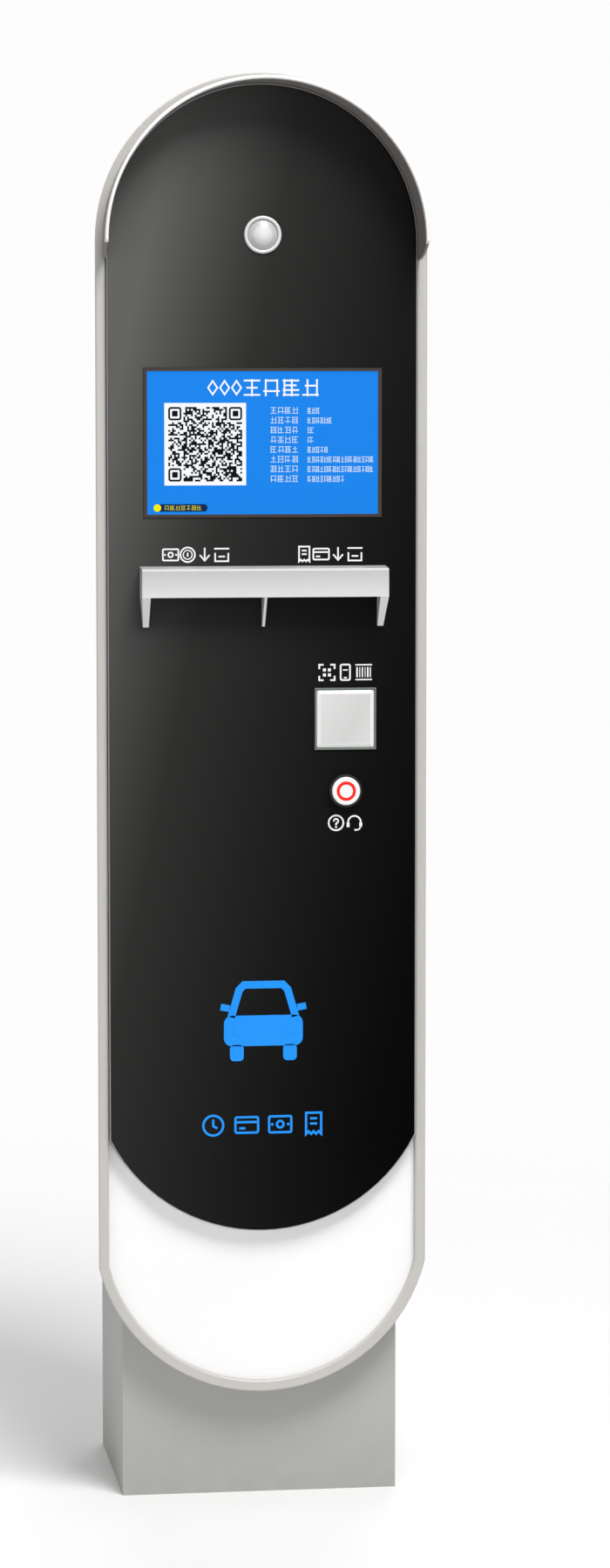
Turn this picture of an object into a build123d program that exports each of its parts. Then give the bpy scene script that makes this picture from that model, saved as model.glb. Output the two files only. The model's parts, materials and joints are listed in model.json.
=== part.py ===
"""Parking pay station: a round-topped steel casing on a box plinth.

The casing carries a black glass panel with a display, a bank-note inlet, a receipt outlet, a code
scanner and a help button. A rear door gives access to the machines behind the panel.

Millimetres. +Z is up, the front faces -Y, and +X is to the right of a person who stands in front.
The origin is on the ground, under the middle of the plinth.
"""
import os
from math import asin, atan, cos, degrees, radians, sin, sqrt, tan

from build123d import *

# ---- clearances ------------------------------------------------------------------------------
GAP = 0.3              # between bodies that pass each other
FIT = 0.05             # radial, between a pin or screw and its hole
TRIM_GAP = 0.5         # between edges of fixed panels that lie side by side

# ---- overall ---------------------------------------------------------------------------------
CASING_W = 375.0           # over the rim
ARC_Z = 1430.0             # height of the middle of the round top
PLINTH_D = 256.0
OVERHANG = 32.0            # rim in front of the plinth
TAPER = 5.8                # degrees that each side leans in towards the rear

# ---- plinth ----------------------------------------------------------------------------------
PLINTH_SIDE_GAP = 0.25     # plinth side inside the casing's rear corner
PLINTH_WALL = 3.0
PLINTH_BLANK_H = 300.0     # the walls are cut off along the casing's underside
BASE_T = 8.0
ANCHOR_SIDE = 38.0         # anchor holes in from the plinth's sides
ANCHOR_END = 33.0          # anchor holes in from the plinth's front and rear
ANCHOR_HOLE = 14.0
CABLE_HOLE = 60.0
DECK_Z = 101.0             # underside of the deck that carries the casing
DECK_T = 3.0
COVER_OPENING = (180.0, 65.0)
COVER_Z = 57.5             # middle of the rear access cover
COVER_LAP = 10.0
COVER_T = 2.0

# ---- casing ----------------------------------------------------------------------------------
CASING_BOTTOM = 124.0      # lowest point of the rim
CASING_DROP = 147.25       # height of the rounded bottom, at the rim
SHEET = 2.5
SIDE_WELD = 10.0           # the side sheets end this far above the bottom's corners
RIM_DEPTH = 13.0
RIM_W = 12.0
RIM_CHAMFER = 1.5
FRAME_PLATE = 3.0
LOWER_PANEL_T = 2.0

# ---- black panel -----------------------------------------------------------------------------
PANEL_BOTTOM = 311.0
PANEL_DROP = 107.7         # height of the panel's rounded bottom
GLASS_PROUD = 6.0          # glass face in front of the rim's face
GLASS_T = 4.0
GLASS_INSET = 1.2          # width of carrier that shows round the glass
CARRIER_LIP = 1.0          # the carrier's edge lies this far behind the glass face
CARRIER_WEB = 3.0
CARRIER_WALL = 4.0
FRAME_LEDGE = 12.0         # frame plate that laps behind the carrier's edge
CARRIER_BOSS_R = 4.5
CARRIER_BOSS_INSET = 8.0
CARRIER_SCREW_ZS = (500.0, 750.0, 1000.0, 1250.0)

# ---- visor -----------------------------------------------------------------------------------
VISOR_DEPTH = 53.0
VISOR_WALL = 3.0
VISOR_GAP = 0.6            # between the panel's edge and the visor's foot
VISOR_FLARE = 1.9
VISOR_DROP = 20.0          # how far its ends come below the middle of the round top
VISOR_TRIM = 4.0
VISOR_TRIM_LAP = 0.8

# ---- screen ----------------------------------------------------------------------------------
SCREEN_Z = 1206.0
SCREEN_VIEW = (261.0, 160.0)
BEZEL_SIZE = (269.0, 167.0)
BEZEL_PROUD = 1.0
BEZEL_LIP_T = 1.5
BEZEL_WALL = 1.5
BEZEL_FLANGE = 6.0
BEZEL_FLANGE_T = 2.0
DISPLAY_HOUSING_T = 22.0

# ---- lens at the top -------------------------------------------------------------------------
SENSOR_RISE = 7.5          # above the middle of the round top
SENSOR_R = 21.0
SENSOR_RING = 4.0
DOME_RISE = 6.0
SENSOR_MODULE_T = 30.0

# ---- canopy over the note inlet and the receipt outlet ---------------------------------------
CANOPY_W = 278.0
CANOPY_TOP = 1068.0
CANOPY_BOTTOM = 1034.0
CANOPY_LEG_END = 1000.0
CANOPY_REACH = 28.0
CANOPY_WALL = 4.0
CANOPY_LEG = (9.5, 6.5)    # width of an end leg above and below, with its inner side upright
CANOPY_RIB = 3.0
STUD_R = 1.6
STUD_Z = 1052.0

# ---- note inlet and receipt outlet -----------------------------------------------------------
SLOT_X = 70.0              # each slot's middle, left and right
SLOT_Z = 1048.0
SLOT = (78.0, 6.0)
SLOT_BEZEL = (104.0, 24.0)
SLOT_BEZEL_T = 5.0
SLOT_THROAT = (86.0, 12.0)
VALIDATOR = (100.0, 190.0, 92.0)
VALIDATOR_Z = 1000.0
NOTE_DROP_Y = -66.0
NOTE_DROP_D = 12.0

# ---- cash box --------------------------------------------------------------------------------
CASHBOX = (96.0, 140.0, 143.0)
CASHBOX_Z = 853.0
CASHBOX_WALL = 2.0
CASHBOX_TRAVEL = 55.0
RAIL_T = 3.0
RAIL_H = 30.0
RAIL_LAP = 14.0

# ---- printer ---------------------------------------------------------------------------------
PRINTER = (110.0, 88.0, 95.0)
PRINTER_Z = 1000.0
PLATEN_R = 8.0
PLATEN_L = 84.0
PLATEN_SHAFT_R = 2.5
PLATEN_Y = -112.0
PLATEN_Z = 1056.0
TROUGH = (90.0, 28.0)
LID_T = 3.0
LID_L = 55.0
LID_PIN_R = 2.0
LID_KNUCKLE_R = 4.0
ROLL_R = 38.0
ROLL_W = 79.0
ROLL_Y = -20.0
ROLL_Z = 1045.0
SPINDLE_R = 6.0
CHEEK_T = 3.0
CHEEK_H = 30.0

# ---- scanner and help button -----------------------------------------------------------------
SCANNER_X = 93.5
SCANNER_Z = 895.0
SCANNER = 70.0
SCANNER_RING = 1.0
SCANNER_MODULE = (80.0, 42.0)
HELP_Z = 813.5
HELP_R = 18.6
HELP_CAP_R = 16.0
HELP_CAP_T = 5.0
HELP_TRAVEL = 3.0
HELP_BARREL_R = 12.0
HELP_BARREL_L = 24.0
HELP_STEM_R = 6.0
HELP_NUT_R = 17.0

# ---- rear door -------------------------------------------------------------------------------
DOOR_MARGIN = 18.25        # rear face that shows on each side of the door
DOOR_BOTTOM = 300.0
DOOR_DROP = 82.5           # height of the door's rounded bottom
DOOR_T = 2.5
DOOR_LAP = 14.0            # door sheet over the edge of the opening
DOOR_RETURN = 8.0
DOOR_RETURN_INSET = 20.0
SEAL_T = 1.7
SEAL_W = 8.0
HINGE_ABOVE = 180.0        # lowest hinge above the door's bottom
HINGE_BELOW = 150.0        # highest hinge below the middle of the round top
HINGE_R = 4.5
HINGE_PIN_R = 2.0
HINGE_OUT = 6.0            # hinge axis beyond the door's edge
KNUCKLE_H = 20.0
LEAF_T = 2.5
LEAF_W = 26.0
FRAME_LEAF_W = 11.0
LOCK_X = -105.0
LOCK_Z = 880.0
LOCK_R = 9.0
LOCK_HEAD_R = 12.0
LOCK_HEAD_T = 3.0
BARREL_R = 6.0
CAM_REACH = 36.0
CAM_T = 3.0
CAM_HALF_W = 7.0
FAN = 80.0
FAN_T = 25.0
FAN_BELOW = 30.0           # fan below the middle of the round top
FAN_HUB_R = 15.0
FAN_BLADES = 7
VENT = (66.0, 5.0)
VENT_PITCH = 11.0
VENT_COUNTS = (7, 6)       # slots behind the fan, and near the bottom
VENT_ABOVE = 140.0         # lower slots above the door's bottom

# ---- inside the casing -----------------------------------------------------------------------
FLOOR_Z = 215.0            # underside of the floor tray
FLOOR_T = 3.0
POST_SIDE = 68.0           # posts in from the plinth's sides
POST_END = 58.0            # posts in from the plinth's front and rear
POST_R = 12.0
BOLT_R = 5.0
BOLT_HEAD_R = 8.5
BOLT_HEAD_H = 6.0
NUT_H = 8.0
PLATE_Y = -100.0           # front of the equipment plate
PLATE_T = 3.0
PLATE_SIDE = 57.5          # plate in from the casing's sides
PLATE_TOP = 985.0
PLATE_FOOT = 30.0
STANDOFF_X = 100.0
STANDOFF_ZS = (245.0, 310.0)
STANDOFF_R = 6.0
CONTROLLER = (200.0, 50.0, 150.0)
CONTROLLER_Z = 640.0
SUPPLY = (160.0, 45.0, 100.0)
SUPPLY_Z = 490.0
DIN_Z = 380.0
DIN = (200.0, 7.5, 35.0)
BREAKER = (36.0, 60.0, 80.0)
BREAKER_X = -42.0
LEVER_W = 11.0
LEVER_R = 6.0
LEVER_L = 20.0
LEVER_PIN_R = 1.5
LEVER_SLOT_D = 14.0
GLAND_R = 16.0
GLAND_BODY_H = 26.0

# ---- screws ----------------------------------------------------------------------------------
SCREW_R = 2.0
SCREW_HEAD_R = 3.6
SCREW_HEAD_H = 2.6

# ---- planes and places that follow from the sizes ---------------------------------------------
CASING_D = PLINTH_D + OVERHANG
CASING_FRONT = -PLINTH_D / 2 - OVERHANG
CASING_BACK = CASING_FRONT + CASING_D
REAR_HALF_W = CASING_W / 2 - CASING_D * tan(radians(TAPER))
PLINTH_W = 2 * (REAR_HALF_W - PLINTH_SIDE_GAP)
ANCHOR_X = PLINTH_W - 2 * ANCHOR_SIDE
ANCHOR_Y = PLINTH_D - 2 * ANCHOR_END
POST_X = PLINTH_W / 2 - POST_SIDE
POST_Y = PLINTH_D / 2 - POST_END
PANEL_W = CASING_W - 2 * (RIM_W + TRIM_GAP)
VISOR_BASE_R = PANEL_W / 2 + VISOR_GAP + VISOR_WALL
SENSOR_Z = ARC_Z + SENSOR_RISE
DOOR_HALF_W = REAR_HALF_W - DOOR_MARGIN
FAN_Z = ARC_Z - FAN_BELOW
PLATE_W = CASING_W - 2 * PLATE_SIDE
FRAME_BACK = CASING_FRONT + RIM_DEPTH
LEDGE_FRONT = FRAME_BACK - FRAME_PLATE
GLASS_FRONT = CASING_FRONT - GLASS_PROUD
GLASS_BACK = GLASS_FRONT + GLASS_T
WEB_BACK = GLASS_BACK + CARRIER_WEB
RIM_INNER = CASING_W / 2 - RIM_W
DOOR_FRONT = CASING_BACK + SEAL_T + GAP
DOOR_BACK = DOOR_FRONT + DOOR_T
HINGE_LOW = DOOR_BOTTOM + HINGE_ABOVE
HINGE_HIGH = ARC_Z - HINGE_BELOW
HINGE_ZS = (HINGE_LOW, (HINGE_LOW + HINGE_HIGH) / 2, HINGE_HIGH)
VENT_ZS = ((FAN_Z, VENT_COUNTS[0]), (DOOR_BOTTOM + VENT_ABOVE, VENT_COUNTS[1]))
HINGE_X = DOOR_HALF_W + HINGE_OUT
HINGE_Y = DOOR_BACK + LEAF_T / 2 + GAP
PLATE_BACK = PLATE_Y + PLATE_T
FLOOR_TOP = FLOOR_Z + FLOOR_T
DECK_TOP = DECK_Z + DECK_T
PRINTER_TOP = PRINTER_Z + PRINTER[2]
PRINTER_BACK = WEB_BACK + PRINTER[1]


# ---- shape helpers -----------------------------------------------------------------------------
def block(x, y, z):
    """A box between three pairs of limits."""
    middle = Pos((x[0] + x[1]) / 2, (y[0] + y[1]) / 2, (z[0] + z[1]) / 2)
    return middle * Box(x[1] - x[0], y[1] - y[0], z[1] - z[0])


def slab(sketch, y_front, y_back):
    """A flat drawing (x, z) carried from one depth to another."""
    return extrude(Plane.XZ.offset(-y_back) * sketch, y_back - y_front)


def bar(sketch, x_left, x_right):
    """A side drawing (y, z) carried from left to right."""
    return extrude(Plane.YZ.offset(x_left) * sketch, x_right - x_left)


def rect(size, x, z):
    """A rectangle for slab, by its size and middle."""
    return Pos(x, z) * Rectangle(size[0], size[1])


def disc(radius, x, z):
    """A circle for slab or bar, by its radius and middle."""
    return Pos(x, z) * Circle(radius)


def post(x, y, radius, z_low, z_high):
    """An upright cylinder."""
    return extrude(Plane.XY.offset(z_low) * (Pos(x, y) * Circle(radius)), z_high - z_low)


def centred(size, middle=0.0):
    """The two limits of a length about its middle."""
    return (middle - size / 2, middle + size / 2)


def outline(half_w, bottom_z, bottom_r):
    """The station's front shape: half-round top, straight sides and a shallow round bottom."""
    corner_z = bottom_z + bottom_r - sqrt(bottom_r**2 - half_w**2)
    return make_face([
        ThreePointArc((-half_w, corner_z), (0, bottom_z), (half_w, corner_z)).edge(),
        Line((half_w, corner_z), (half_w, ARC_Z)).edge(),
        ThreePointArc((half_w, ARC_Z), (0, ARC_Z + half_w), (-half_w, ARC_Z)).edge(),
        Line((-half_w, ARC_Z), (-half_w, corner_z)).edge(),
    ])


def arc_radius(half_w, drop):
    """The radius of an arc that falls by drop from its ends to its middle."""
    return (half_w**2 + drop**2) / (2 * drop)


BOTTOM_R = arc_radius(CASING_W / 2, CASING_DROP)
PANEL_BOTTOM_R = arc_radius(PANEL_W / 2, PANEL_DROP)
DOOR_BOTTOM_R = arc_radius(DOOR_HALF_W, DOOR_DROP)


def casing_outline(inset):
    return outline(CASING_W / 2 - inset, CASING_BOTTOM + inset, BOTTOM_R - inset)


def panel_outline(inset):
    return outline(PANEL_W / 2 - inset, PANEL_BOTTOM + inset, PANEL_BOTTOM_R - inset)


def door_outline(inset):
    return outline(DOOR_HALF_W - inset, DOOR_BOTTOM + inset, DOOR_BOTTOM_R - inset)


def casing_form(y_front, y_back, wall=0.0):
    """The casing's tapered form between two depths, a wall's thickness inside its skin."""
    inset = (y_front - CASING_FRONT) * tan(radians(TAPER)) + wall
    start = Plane((0, y_front, 0), x_dir=(-1, 0, 0), z_dir=(0, 1, 0))
    return extrude(start * casing_outline(inset), y_back - y_front, taper=TAPER)


def screw(x, z, y_head, y_tip):
    """A pan-head screw along Y, with its head beyond y_head on the side away from the tip."""
    way = 1 if y_head > y_tip else -1
    head = slab(disc(SCREW_HEAD_R, x, z), *sorted((y_head, y_head + way * SCREW_HEAD_H)))
    return head + slab(disc(SCREW_R, x, z), *sorted((y_head, y_tip)))


def screw_hole(x, z, y_front, y_back):
    return slab(disc(SCREW_R + FIT, x, z), y_front, y_back)


def group(solids):
    """Like pieces that share one node."""
    return Compound(children=list(solids))


# ---- plinth ------------------------------------------------------------------------------------
POST_PLACES = [(x, y) for x in (-POST_X, POST_X) for y in (-POST_Y, POST_Y)]
COVER_SCREWS = [(x, z) for x in centred(COVER_OPENING[0] + COVER_LAP)
                for z in centred(COVER_OPENING[1] + COVER_LAP, COVER_Z)]


def plinth():
    walls = block(centred(PLINTH_W), centred(PLINTH_D), (0, PLINTH_BLANK_H))
    walls -= block(centred(PLINTH_W - 2 * PLINTH_WALL), centred(PLINTH_D - 2 * PLINTH_WALL),
                   (-1, PLINTH_BLANK_H + 1))
    walls -= casing_form(CASING_FRONT, CASING_BACK, -FIT)
    rear = PLINTH_D / 2
    walls -= slab(rect(COVER_OPENING, 0, COVER_Z), rear - 2 * PLINTH_WALL, rear + 1)
    for x, z in COVER_SCREWS:
        walls -= screw_hole(x, z, rear - 2 * PLINTH_WALL, rear + 1)
    return walls


def inside_plinth(z_low, z_high):
    wall = 2 * PLINTH_WALL
    return block(centred(PLINTH_W - wall), centred(PLINTH_D - wall), (z_low, z_high))


def base_plate():
    plate = inside_plinth(0, BASE_T) - post(0, 0, CABLE_HOLE / 2, -1, BASE_T + 1)
    for x in centred(ANCHOR_X):
        for y in centred(ANCHOR_Y):
            plate -= post(x, y, ANCHOR_HOLE / 2, -1, BASE_T + 1)
    return plate


def plinth_deck():
    deck = inside_plinth(DECK_Z, DECK_TOP) - post(0, 0, CABLE_HOLE / 2, DECK_Z - 1, DECK_TOP + 1)
    for x, y in POST_PLACES:
        deck -= post(x, y, BOLT_R + FIT, DECK_Z - 1, DECK_TOP + 1)
    return deck


def plinth_cover():
    size = (COVER_OPENING[0] + 2 * COVER_LAP, COVER_OPENING[1] + 2 * COVER_LAP)
    rear = PLINTH_D / 2
    cover = slab(rect(size, 0, COVER_Z), rear, rear + COVER_T)
    for x, z in COVER_SCREWS:
        cover -= screw_hole(x, z, rear - 1, rear + COVER_T + 1)
    return cover


def mounting_posts():
    return group(post(x, y, POST_R, DECK_TOP, FLOOR_Z)
                 - post(x, y, BOLT_R + FIT, DECK_TOP - 1, FLOOR_Z + 1) for x, y in POST_PLACES)


def casing_bolts():
    """The bolts through the posts, each with its nut below the deck."""
    bolts = []
    for x, y in POST_PLACES:
        head = Pos(x, y, FLOOR_TOP) * extrude(RegularPolygon(BOLT_HEAD_R, 6), BOLT_HEAD_H)
        bolts.append(head + post(x, y, BOLT_R, DECK_Z - NUT_H - 2, FLOOR_TOP))
        nut = Pos(x, y, DECK_Z - NUT_H) * extrude(RegularPolygon(BOLT_HEAD_R, 6), NUT_H)
        bolts.append(nut - post(x, y, BOLT_R + FIT, DECK_Z - NUT_H - 1, DECK_Z + 1))
    return group(bolts)


# ---- casing ------------------------------------------------------------------------------------
WELD_Z = CASING_BOTTOM + CASING_DROP + SIDE_WELD


def casing_inside():
    """The space inside the casing's sheets, a little longer than they are at each end."""
    return casing_form(FRAME_BACK - 1, CASING_BACK + 1, SHEET)


def casing_wrap(z_low, z_high):
    """The sheet round the casing, between two heights."""
    wrap = casing_form(FRAME_BACK, CASING_BACK) - casing_inside()
    return wrap & block(centred(CASING_W), (FRAME_BACK, CASING_BACK), (z_low, z_high))


def casing_top():
    return casing_wrap(ARC_Z, ARC_Z + CASING_W)


def casing_sides():
    return group(casing_wrap(WELD_Z, ARC_Z).solids())


def casing_bottom():
    bottom = casing_wrap(0, WELD_Z)
    for x, y in POST_PLACES:
        bottom -= post(x, y, POST_R + GAP, DECK_Z, FLOOR_Z)
    return bottom - post(0, 0, CABLE_HOLE / 2, DECK_Z, FLOOR_Z)


def rear_frame():
    """The sheet that the door closes against, inside the end of the wrap."""
    sheet = block(centred(CASING_W), (CASING_BACK - SHEET, CASING_BACK), (0, ARC_Z + CASING_W))
    opening = slab(door_outline(DOOR_LAP), CASING_BACK - 2 * SHEET, CASING_BACK + 1)
    return (casing_inside() & sheet) - opening


def front_frame():
    """The rim with bevelled edges, and the plate behind it that the panels rest on."""
    bevel_back = CASING_FRONT + RIM_CHAMFER
    lean = RIM_CHAMFER * (1 - tan(radians(TAPER)))
    start = Plane((0, CASING_FRONT, 0), x_dir=(-1, 0, 0), z_dir=(0, 1, 0))
    frame = casing_form(bevel_back, FRAME_BACK)
    frame += extrude(start * casing_outline(RIM_CHAMFER), RIM_CHAMFER,
                     taper=-degrees(atan(lean / RIM_CHAMFER)))
    frame -= extrude(start * casing_outline(RIM_W - RIM_CHAMFER), RIM_CHAMFER, taper=45)
    frame -= slab(casing_outline(RIM_W), CASING_FRONT - 1, LEDGE_FRONT)
    frame -= slab(panel_outline(FRAME_LEDGE), LEDGE_FRONT - 1, FRAME_BACK + 1)
    for x, z in CARRIER_SCREWS:
        frame -= screw_hole(x, z, LEDGE_FRONT - 1, FRAME_BACK + 1)
    for x in centred(2 * STANDOFF_X):
        for z in STANDOFF_ZS:
            frame -= screw_hole(x, z, LEDGE_FRONT - 1, FRAME_BACK + 1)
    return frame


def lower_front_panel():
    panel = slab(casing_outline(RIM_W), LEDGE_FRONT - LOWER_PANEL_T, LEDGE_FRONT)
    above = outline(RIM_INNER + 1, PANEL_BOTTOM - TRIM_GAP, PANEL_BOTTOM_R + TRIM_GAP)
    return panel - slab(above, LEDGE_FRONT - 2 * LOWER_PANEL_T, LEDGE_FRONT + 1)


def floor_tray():
    tray = casing_inside() & block(centred(CASING_W), (FRAME_BACK, CASING_BACK - SHEET),
                                   (FLOOR_Z, FLOOR_TOP))
    for x, y in POST_PLACES:
        tray -= post(x, y, BOLT_R + FIT, FLOOR_Z - 1, FLOOR_TOP + 1)
    return tray - post(0, 0, GLAND_R + GAP, FLOOR_Z - 1, FLOOR_TOP + 1)


def cable_gland():
    hex_body = Pos(0, 0, FLOOR_Z - GLAND_BODY_H) * extrude(RegularPolygon(GLAND_R * 1.3, 6),
                                                           GLAND_BODY_H)
    hex_body = fillet(hex_body.edges().sort_by(Axis.Z)[:6], 2)
    thread = post(0, 0, GLAND_R, FLOOR_Z, FLOOR_TOP + 9)
    nut = Pos(0, 0, FLOOR_TOP) * extrude(RegularPolygon(GLAND_R * 1.35, 6), 5)
    bore = post(0, 0, GLAND_R * 0.6, FLOOR_Z - 2 * GLAND_BODY_H, FLOOR_TOP + 20)
    return hex_body + thread + nut - bore


# ---- black panel -------------------------------------------------------------------------------
CARRIER_SCREWS = [(side * (PANEL_W / 2 - CARRIER_BOSS_INSET), z)
                  for side in (-1, 1) for z in CARRIER_SCREW_ZS]
CARRIER_SCREWS += [(0, ARC_Z + PANEL_W / 2 - CARRIER_BOSS_INSET),
                   (0, PANEL_BOTTOM + CARRIER_BOSS_INSET)]
STUD_XS = centred(CANOPY_W - CANOPY_LEG[0])
BEZEL_SCREWS = [(x, z) for x in centred(BEZEL_SIZE[0] + BEZEL_FLANGE)
                for z in centred(BEZEL_SIZE[1] + BEZEL_FLANGE, SCREEN_Z)]


def panel_cuts(y_front, y_back, gap):
    """What passes through the glass and the carrier's web."""
    cuts = [
        slab(disc(SENSOR_R + gap, 0, SENSOR_Z), y_front, y_back),
        slab(rect((BEZEL_SIZE[0] + 2 * gap, BEZEL_SIZE[1] + 2 * gap), 0, SCREEN_Z), y_front, y_back),
        slab(rect((SCANNER - 2 * SCANNER_RING + 2 * gap,) * 2, SCANNER_X, SCANNER_Z),
             y_front, y_back),
        slab(disc(HELP_BARREL_R + gap, SCANNER_X, HELP_Z), y_front, y_back),
    ]
    for side in (-1, 1):
        throat = (SLOT_THROAT[0] + 2 * gap, SLOT_THROAT[1] + 2 * gap)
        cuts.append(slab(rect(throat, side * SLOT_X, SLOT_Z), y_front, y_back))
    for x in STUD_XS:
        cuts.append(slab(disc(STUD_R + FIT, x, STUD_Z), y_front, y_back))
    return cuts


def panel_carrier():
    carrier = slab(panel_outline(0), GLASS_FRONT + CARRIER_LIP, LEDGE_FRONT)
    carrier -= slab(panel_outline(GLASS_INSET), GLASS_FRONT - 1, GLASS_BACK)
    carrier -= slab(panel_outline(CARRIER_WALL), WEB_BACK, LEDGE_FRONT + 1)
    for x, z in CARRIER_SCREWS:
        carrier += slab(disc(CARRIER_BOSS_R, x, z), WEB_BACK - 0.5, LEDGE_FRONT)
        carrier -= screw_hole(x, z, WEB_BACK, LEDGE_FRONT + 1)
    for cut in panel_cuts(GLASS_FRONT - 1, WEB_BACK + 1, GAP):
        carrier -= cut
    for x, z in BEZEL_SCREWS:
        carrier -= screw_hole(x, z, GLASS_BACK, WEB_BACK + 1)
    return carrier


def front_glass():
    glass = slab(panel_outline(GLASS_INSET + GAP), GLASS_FRONT, GLASS_BACK)
    for cut in panel_cuts(GLASS_FRONT - 1, GLASS_BACK + 1, GAP):
        glass -= cut
    return glass


def screws_and_studs():
    """The screws of the carrier, the display and the plinth's cover, and the canopy's studs."""
    screws = [screw(x, z, FRAME_BACK, WEB_BACK + 2) for x, z in CARRIER_SCREWS]
    screws += [screw(x, z, BEZEL_BACK + 3, GLASS_BACK + 0.5) for x, z in BEZEL_SCREWS]
    rear = PLINTH_D / 2
    screws += [screw(x, z, rear + COVER_T, rear - 2 * PLINTH_WALL) for x, z in COVER_SCREWS]
    for x in STUD_XS:
        stud = slab(disc(STUD_R, x, STUD_Z), GLASS_FRONT - 10, WEB_BACK + 6)
        screws.append(stud + slab(disc(2.2 * STUD_R, x, STUD_Z), WEB_BACK, WEB_BACK + 4))
    return group(screws)


# ---- visor -------------------------------------------------------------------------------------
VISOR_FRONT = CASING_FRONT - VISOR_DEPTH
VISOR_FRONT_R = VISOR_BASE_R + VISOR_FLARE


def visor_ring(points):
    """An arch from (radius, y) corners: a half ring, and straight ends cut to a rounded slope."""
    face = Pos(0, 0, ARC_Z) * make_face(Polyline(*points, close=True).edges())
    ring = revolve(face, Axis((0, 0, ARC_Z), (0, 1, 0)), -180)
    end = extrude(face, VISOR_DROP, dir=(0, 0, -1))
    ring += end + mirror(end, Plane.YZ)
    low = ARC_Z - VISOR_DROP
    nose = VISOR_FRONT - VISOR_TRIM
    reach = CASING_FRONT - nose
    end_r = (reach**2 + VISOR_DROP**2) / (2 * VISOR_DROP)
    half = asin(reach / end_r) / 2
    middle = (CASING_FRONT - end_r * sin(half), low + end_r * (1 - cos(half)))
    arch = make_face([
        Line((CASING_FRONT + 10, low), (CASING_FRONT, low)).edge(),
        ThreePointArc((CASING_FRONT, low), middle, (nose, ARC_Z)).edge(),
        Line((nose, ARC_Z), (nose, ARC_Z + CASING_W)).edge(),
        Line((nose, ARC_Z + CASING_W), (CASING_FRONT + 10, ARC_Z + CASING_W)).edge(),
        Line((CASING_FRONT + 10, ARC_Z + CASING_W), (CASING_FRONT + 10, low)).edge(),
    ])
    return ring & bar(arch, -CASING_W, CASING_W)


def visor():
    return visor_ring([(VISOR_BASE_R - VISOR_WALL, CASING_FRONT), (VISOR_BASE_R, CASING_FRONT),
                       (VISOR_FRONT_R, VISOR_FRONT), (VISOR_FRONT_R - VISOR_WALL, VISOR_FRONT)])


def visor_trim():
    inner = VISOR_FRONT_R - VISOR_WALL - VISOR_TRIM_LAP
    outer = VISOR_FRONT_R + VISOR_TRIM_LAP
    nose = VISOR_FRONT - VISOR_TRIM
    return visor_ring([(inner, VISOR_FRONT), (outer, VISOR_FRONT),
                       (outer - 1, nose), (inner + 1, nose)])


# ---- lens at the top ---------------------------------------------------------------------------
SENSOR_FLANGE_T = 3.0


def sensor_bezel():
    ring = slab(disc(SENSOR_R, 0, SENSOR_Z), GLASS_FRONT - 2.5, WEB_BACK)
    ring = chamfer(ring.edges().sort_by(Axis.Y)[0], 1)
    ring += slab(disc(SENSOR_R + 6, 0, SENSOR_Z), WEB_BACK, WEB_BACK + SENSOR_FLANGE_T)
    bore = slab(disc(SENSOR_R - SENSOR_RING, 0, SENSOR_Z), GLASS_FRONT - 5, WEB_BACK + 5)
    return ring - bore


def sensor_dome():
    base_r = SENSOR_R - SENSOR_RING
    ball_r = (base_r**2 + DOME_RISE**2) / (2 * DOME_RISE)
    ball = Pos(0, GLASS_FRONT - DOME_RISE + ball_r, SENSOR_Z) * Sphere(ball_r)
    return ball & slab(disc(base_r, 0, SENSOR_Z), GLASS_FRONT - 2 * DOME_RISE, WEB_BACK)


def sensor_module():
    front = WEB_BACK + SENSOR_FLANGE_T
    body = slab(disc(SENSOR_R - 2, 0, SENSOR_Z), front, front + SENSOR_MODULE_T)
    plug = slab(disc(SENSOR_R - SENSOR_RING - 1, 0, SENSOR_Z), WEB_BACK, front)
    return body + plug


# ---- screen ------------------------------------------------------------------------------------
BEZEL_BACK = WEB_BACK + BEZEL_FLANGE_T
DISPLAY = (BEZEL_SIZE[0] - 2 * BEZEL_WALL, BEZEL_SIZE[1] - 2 * BEZEL_WALL)
FLANGE_SIZE = (BEZEL_SIZE[0] + 2 * BEZEL_FLANGE, BEZEL_SIZE[1] + 2 * BEZEL_FLANGE)
LIP_BACK = GLASS_FRONT - BEZEL_PROUD + BEZEL_LIP_T


def screen_bezel():
    bezel = slab(rect(BEZEL_SIZE, 0, SCREEN_Z), GLASS_FRONT - BEZEL_PROUD, WEB_BACK)
    bezel += slab(rect(FLANGE_SIZE, 0, SCREEN_Z), WEB_BACK, BEZEL_BACK)
    bezel -= slab(rect(DISPLAY, 0, SCREEN_Z), LIP_BACK, BEZEL_BACK + 1)
    bezel -= slab(rect(SCREEN_VIEW, 0, SCREEN_Z), GLASS_FRONT - 5, BEZEL_BACK + 1)
    for x, z in BEZEL_SCREWS:
        bezel -= screw_hole(x, z, WEB_BACK - 1, BEZEL_BACK + 1)
    return bezel


def display_panel():
    size = (DISPLAY[0] - 2 * GAP, DISPLAY[1] - 2 * GAP)
    return slab(rect(size, 0, SCREEN_Z), LIP_BACK, BEZEL_BACK)


def display_housing():
    back = BEZEL_BACK + DISPLAY_HOUSING_T
    housing = slab(rect(FLANGE_SIZE, 0, SCREEN_Z), BEZEL_BACK, BEZEL_BACK + 3)
    housing += slab(rect(DISPLAY, 0, SCREEN_Z), BEZEL_BACK, back)
    for x, z in BEZEL_SCREWS:
        housing -= screw_hole(x, z, BEZEL_BACK - 1, back)
    return housing


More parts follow.
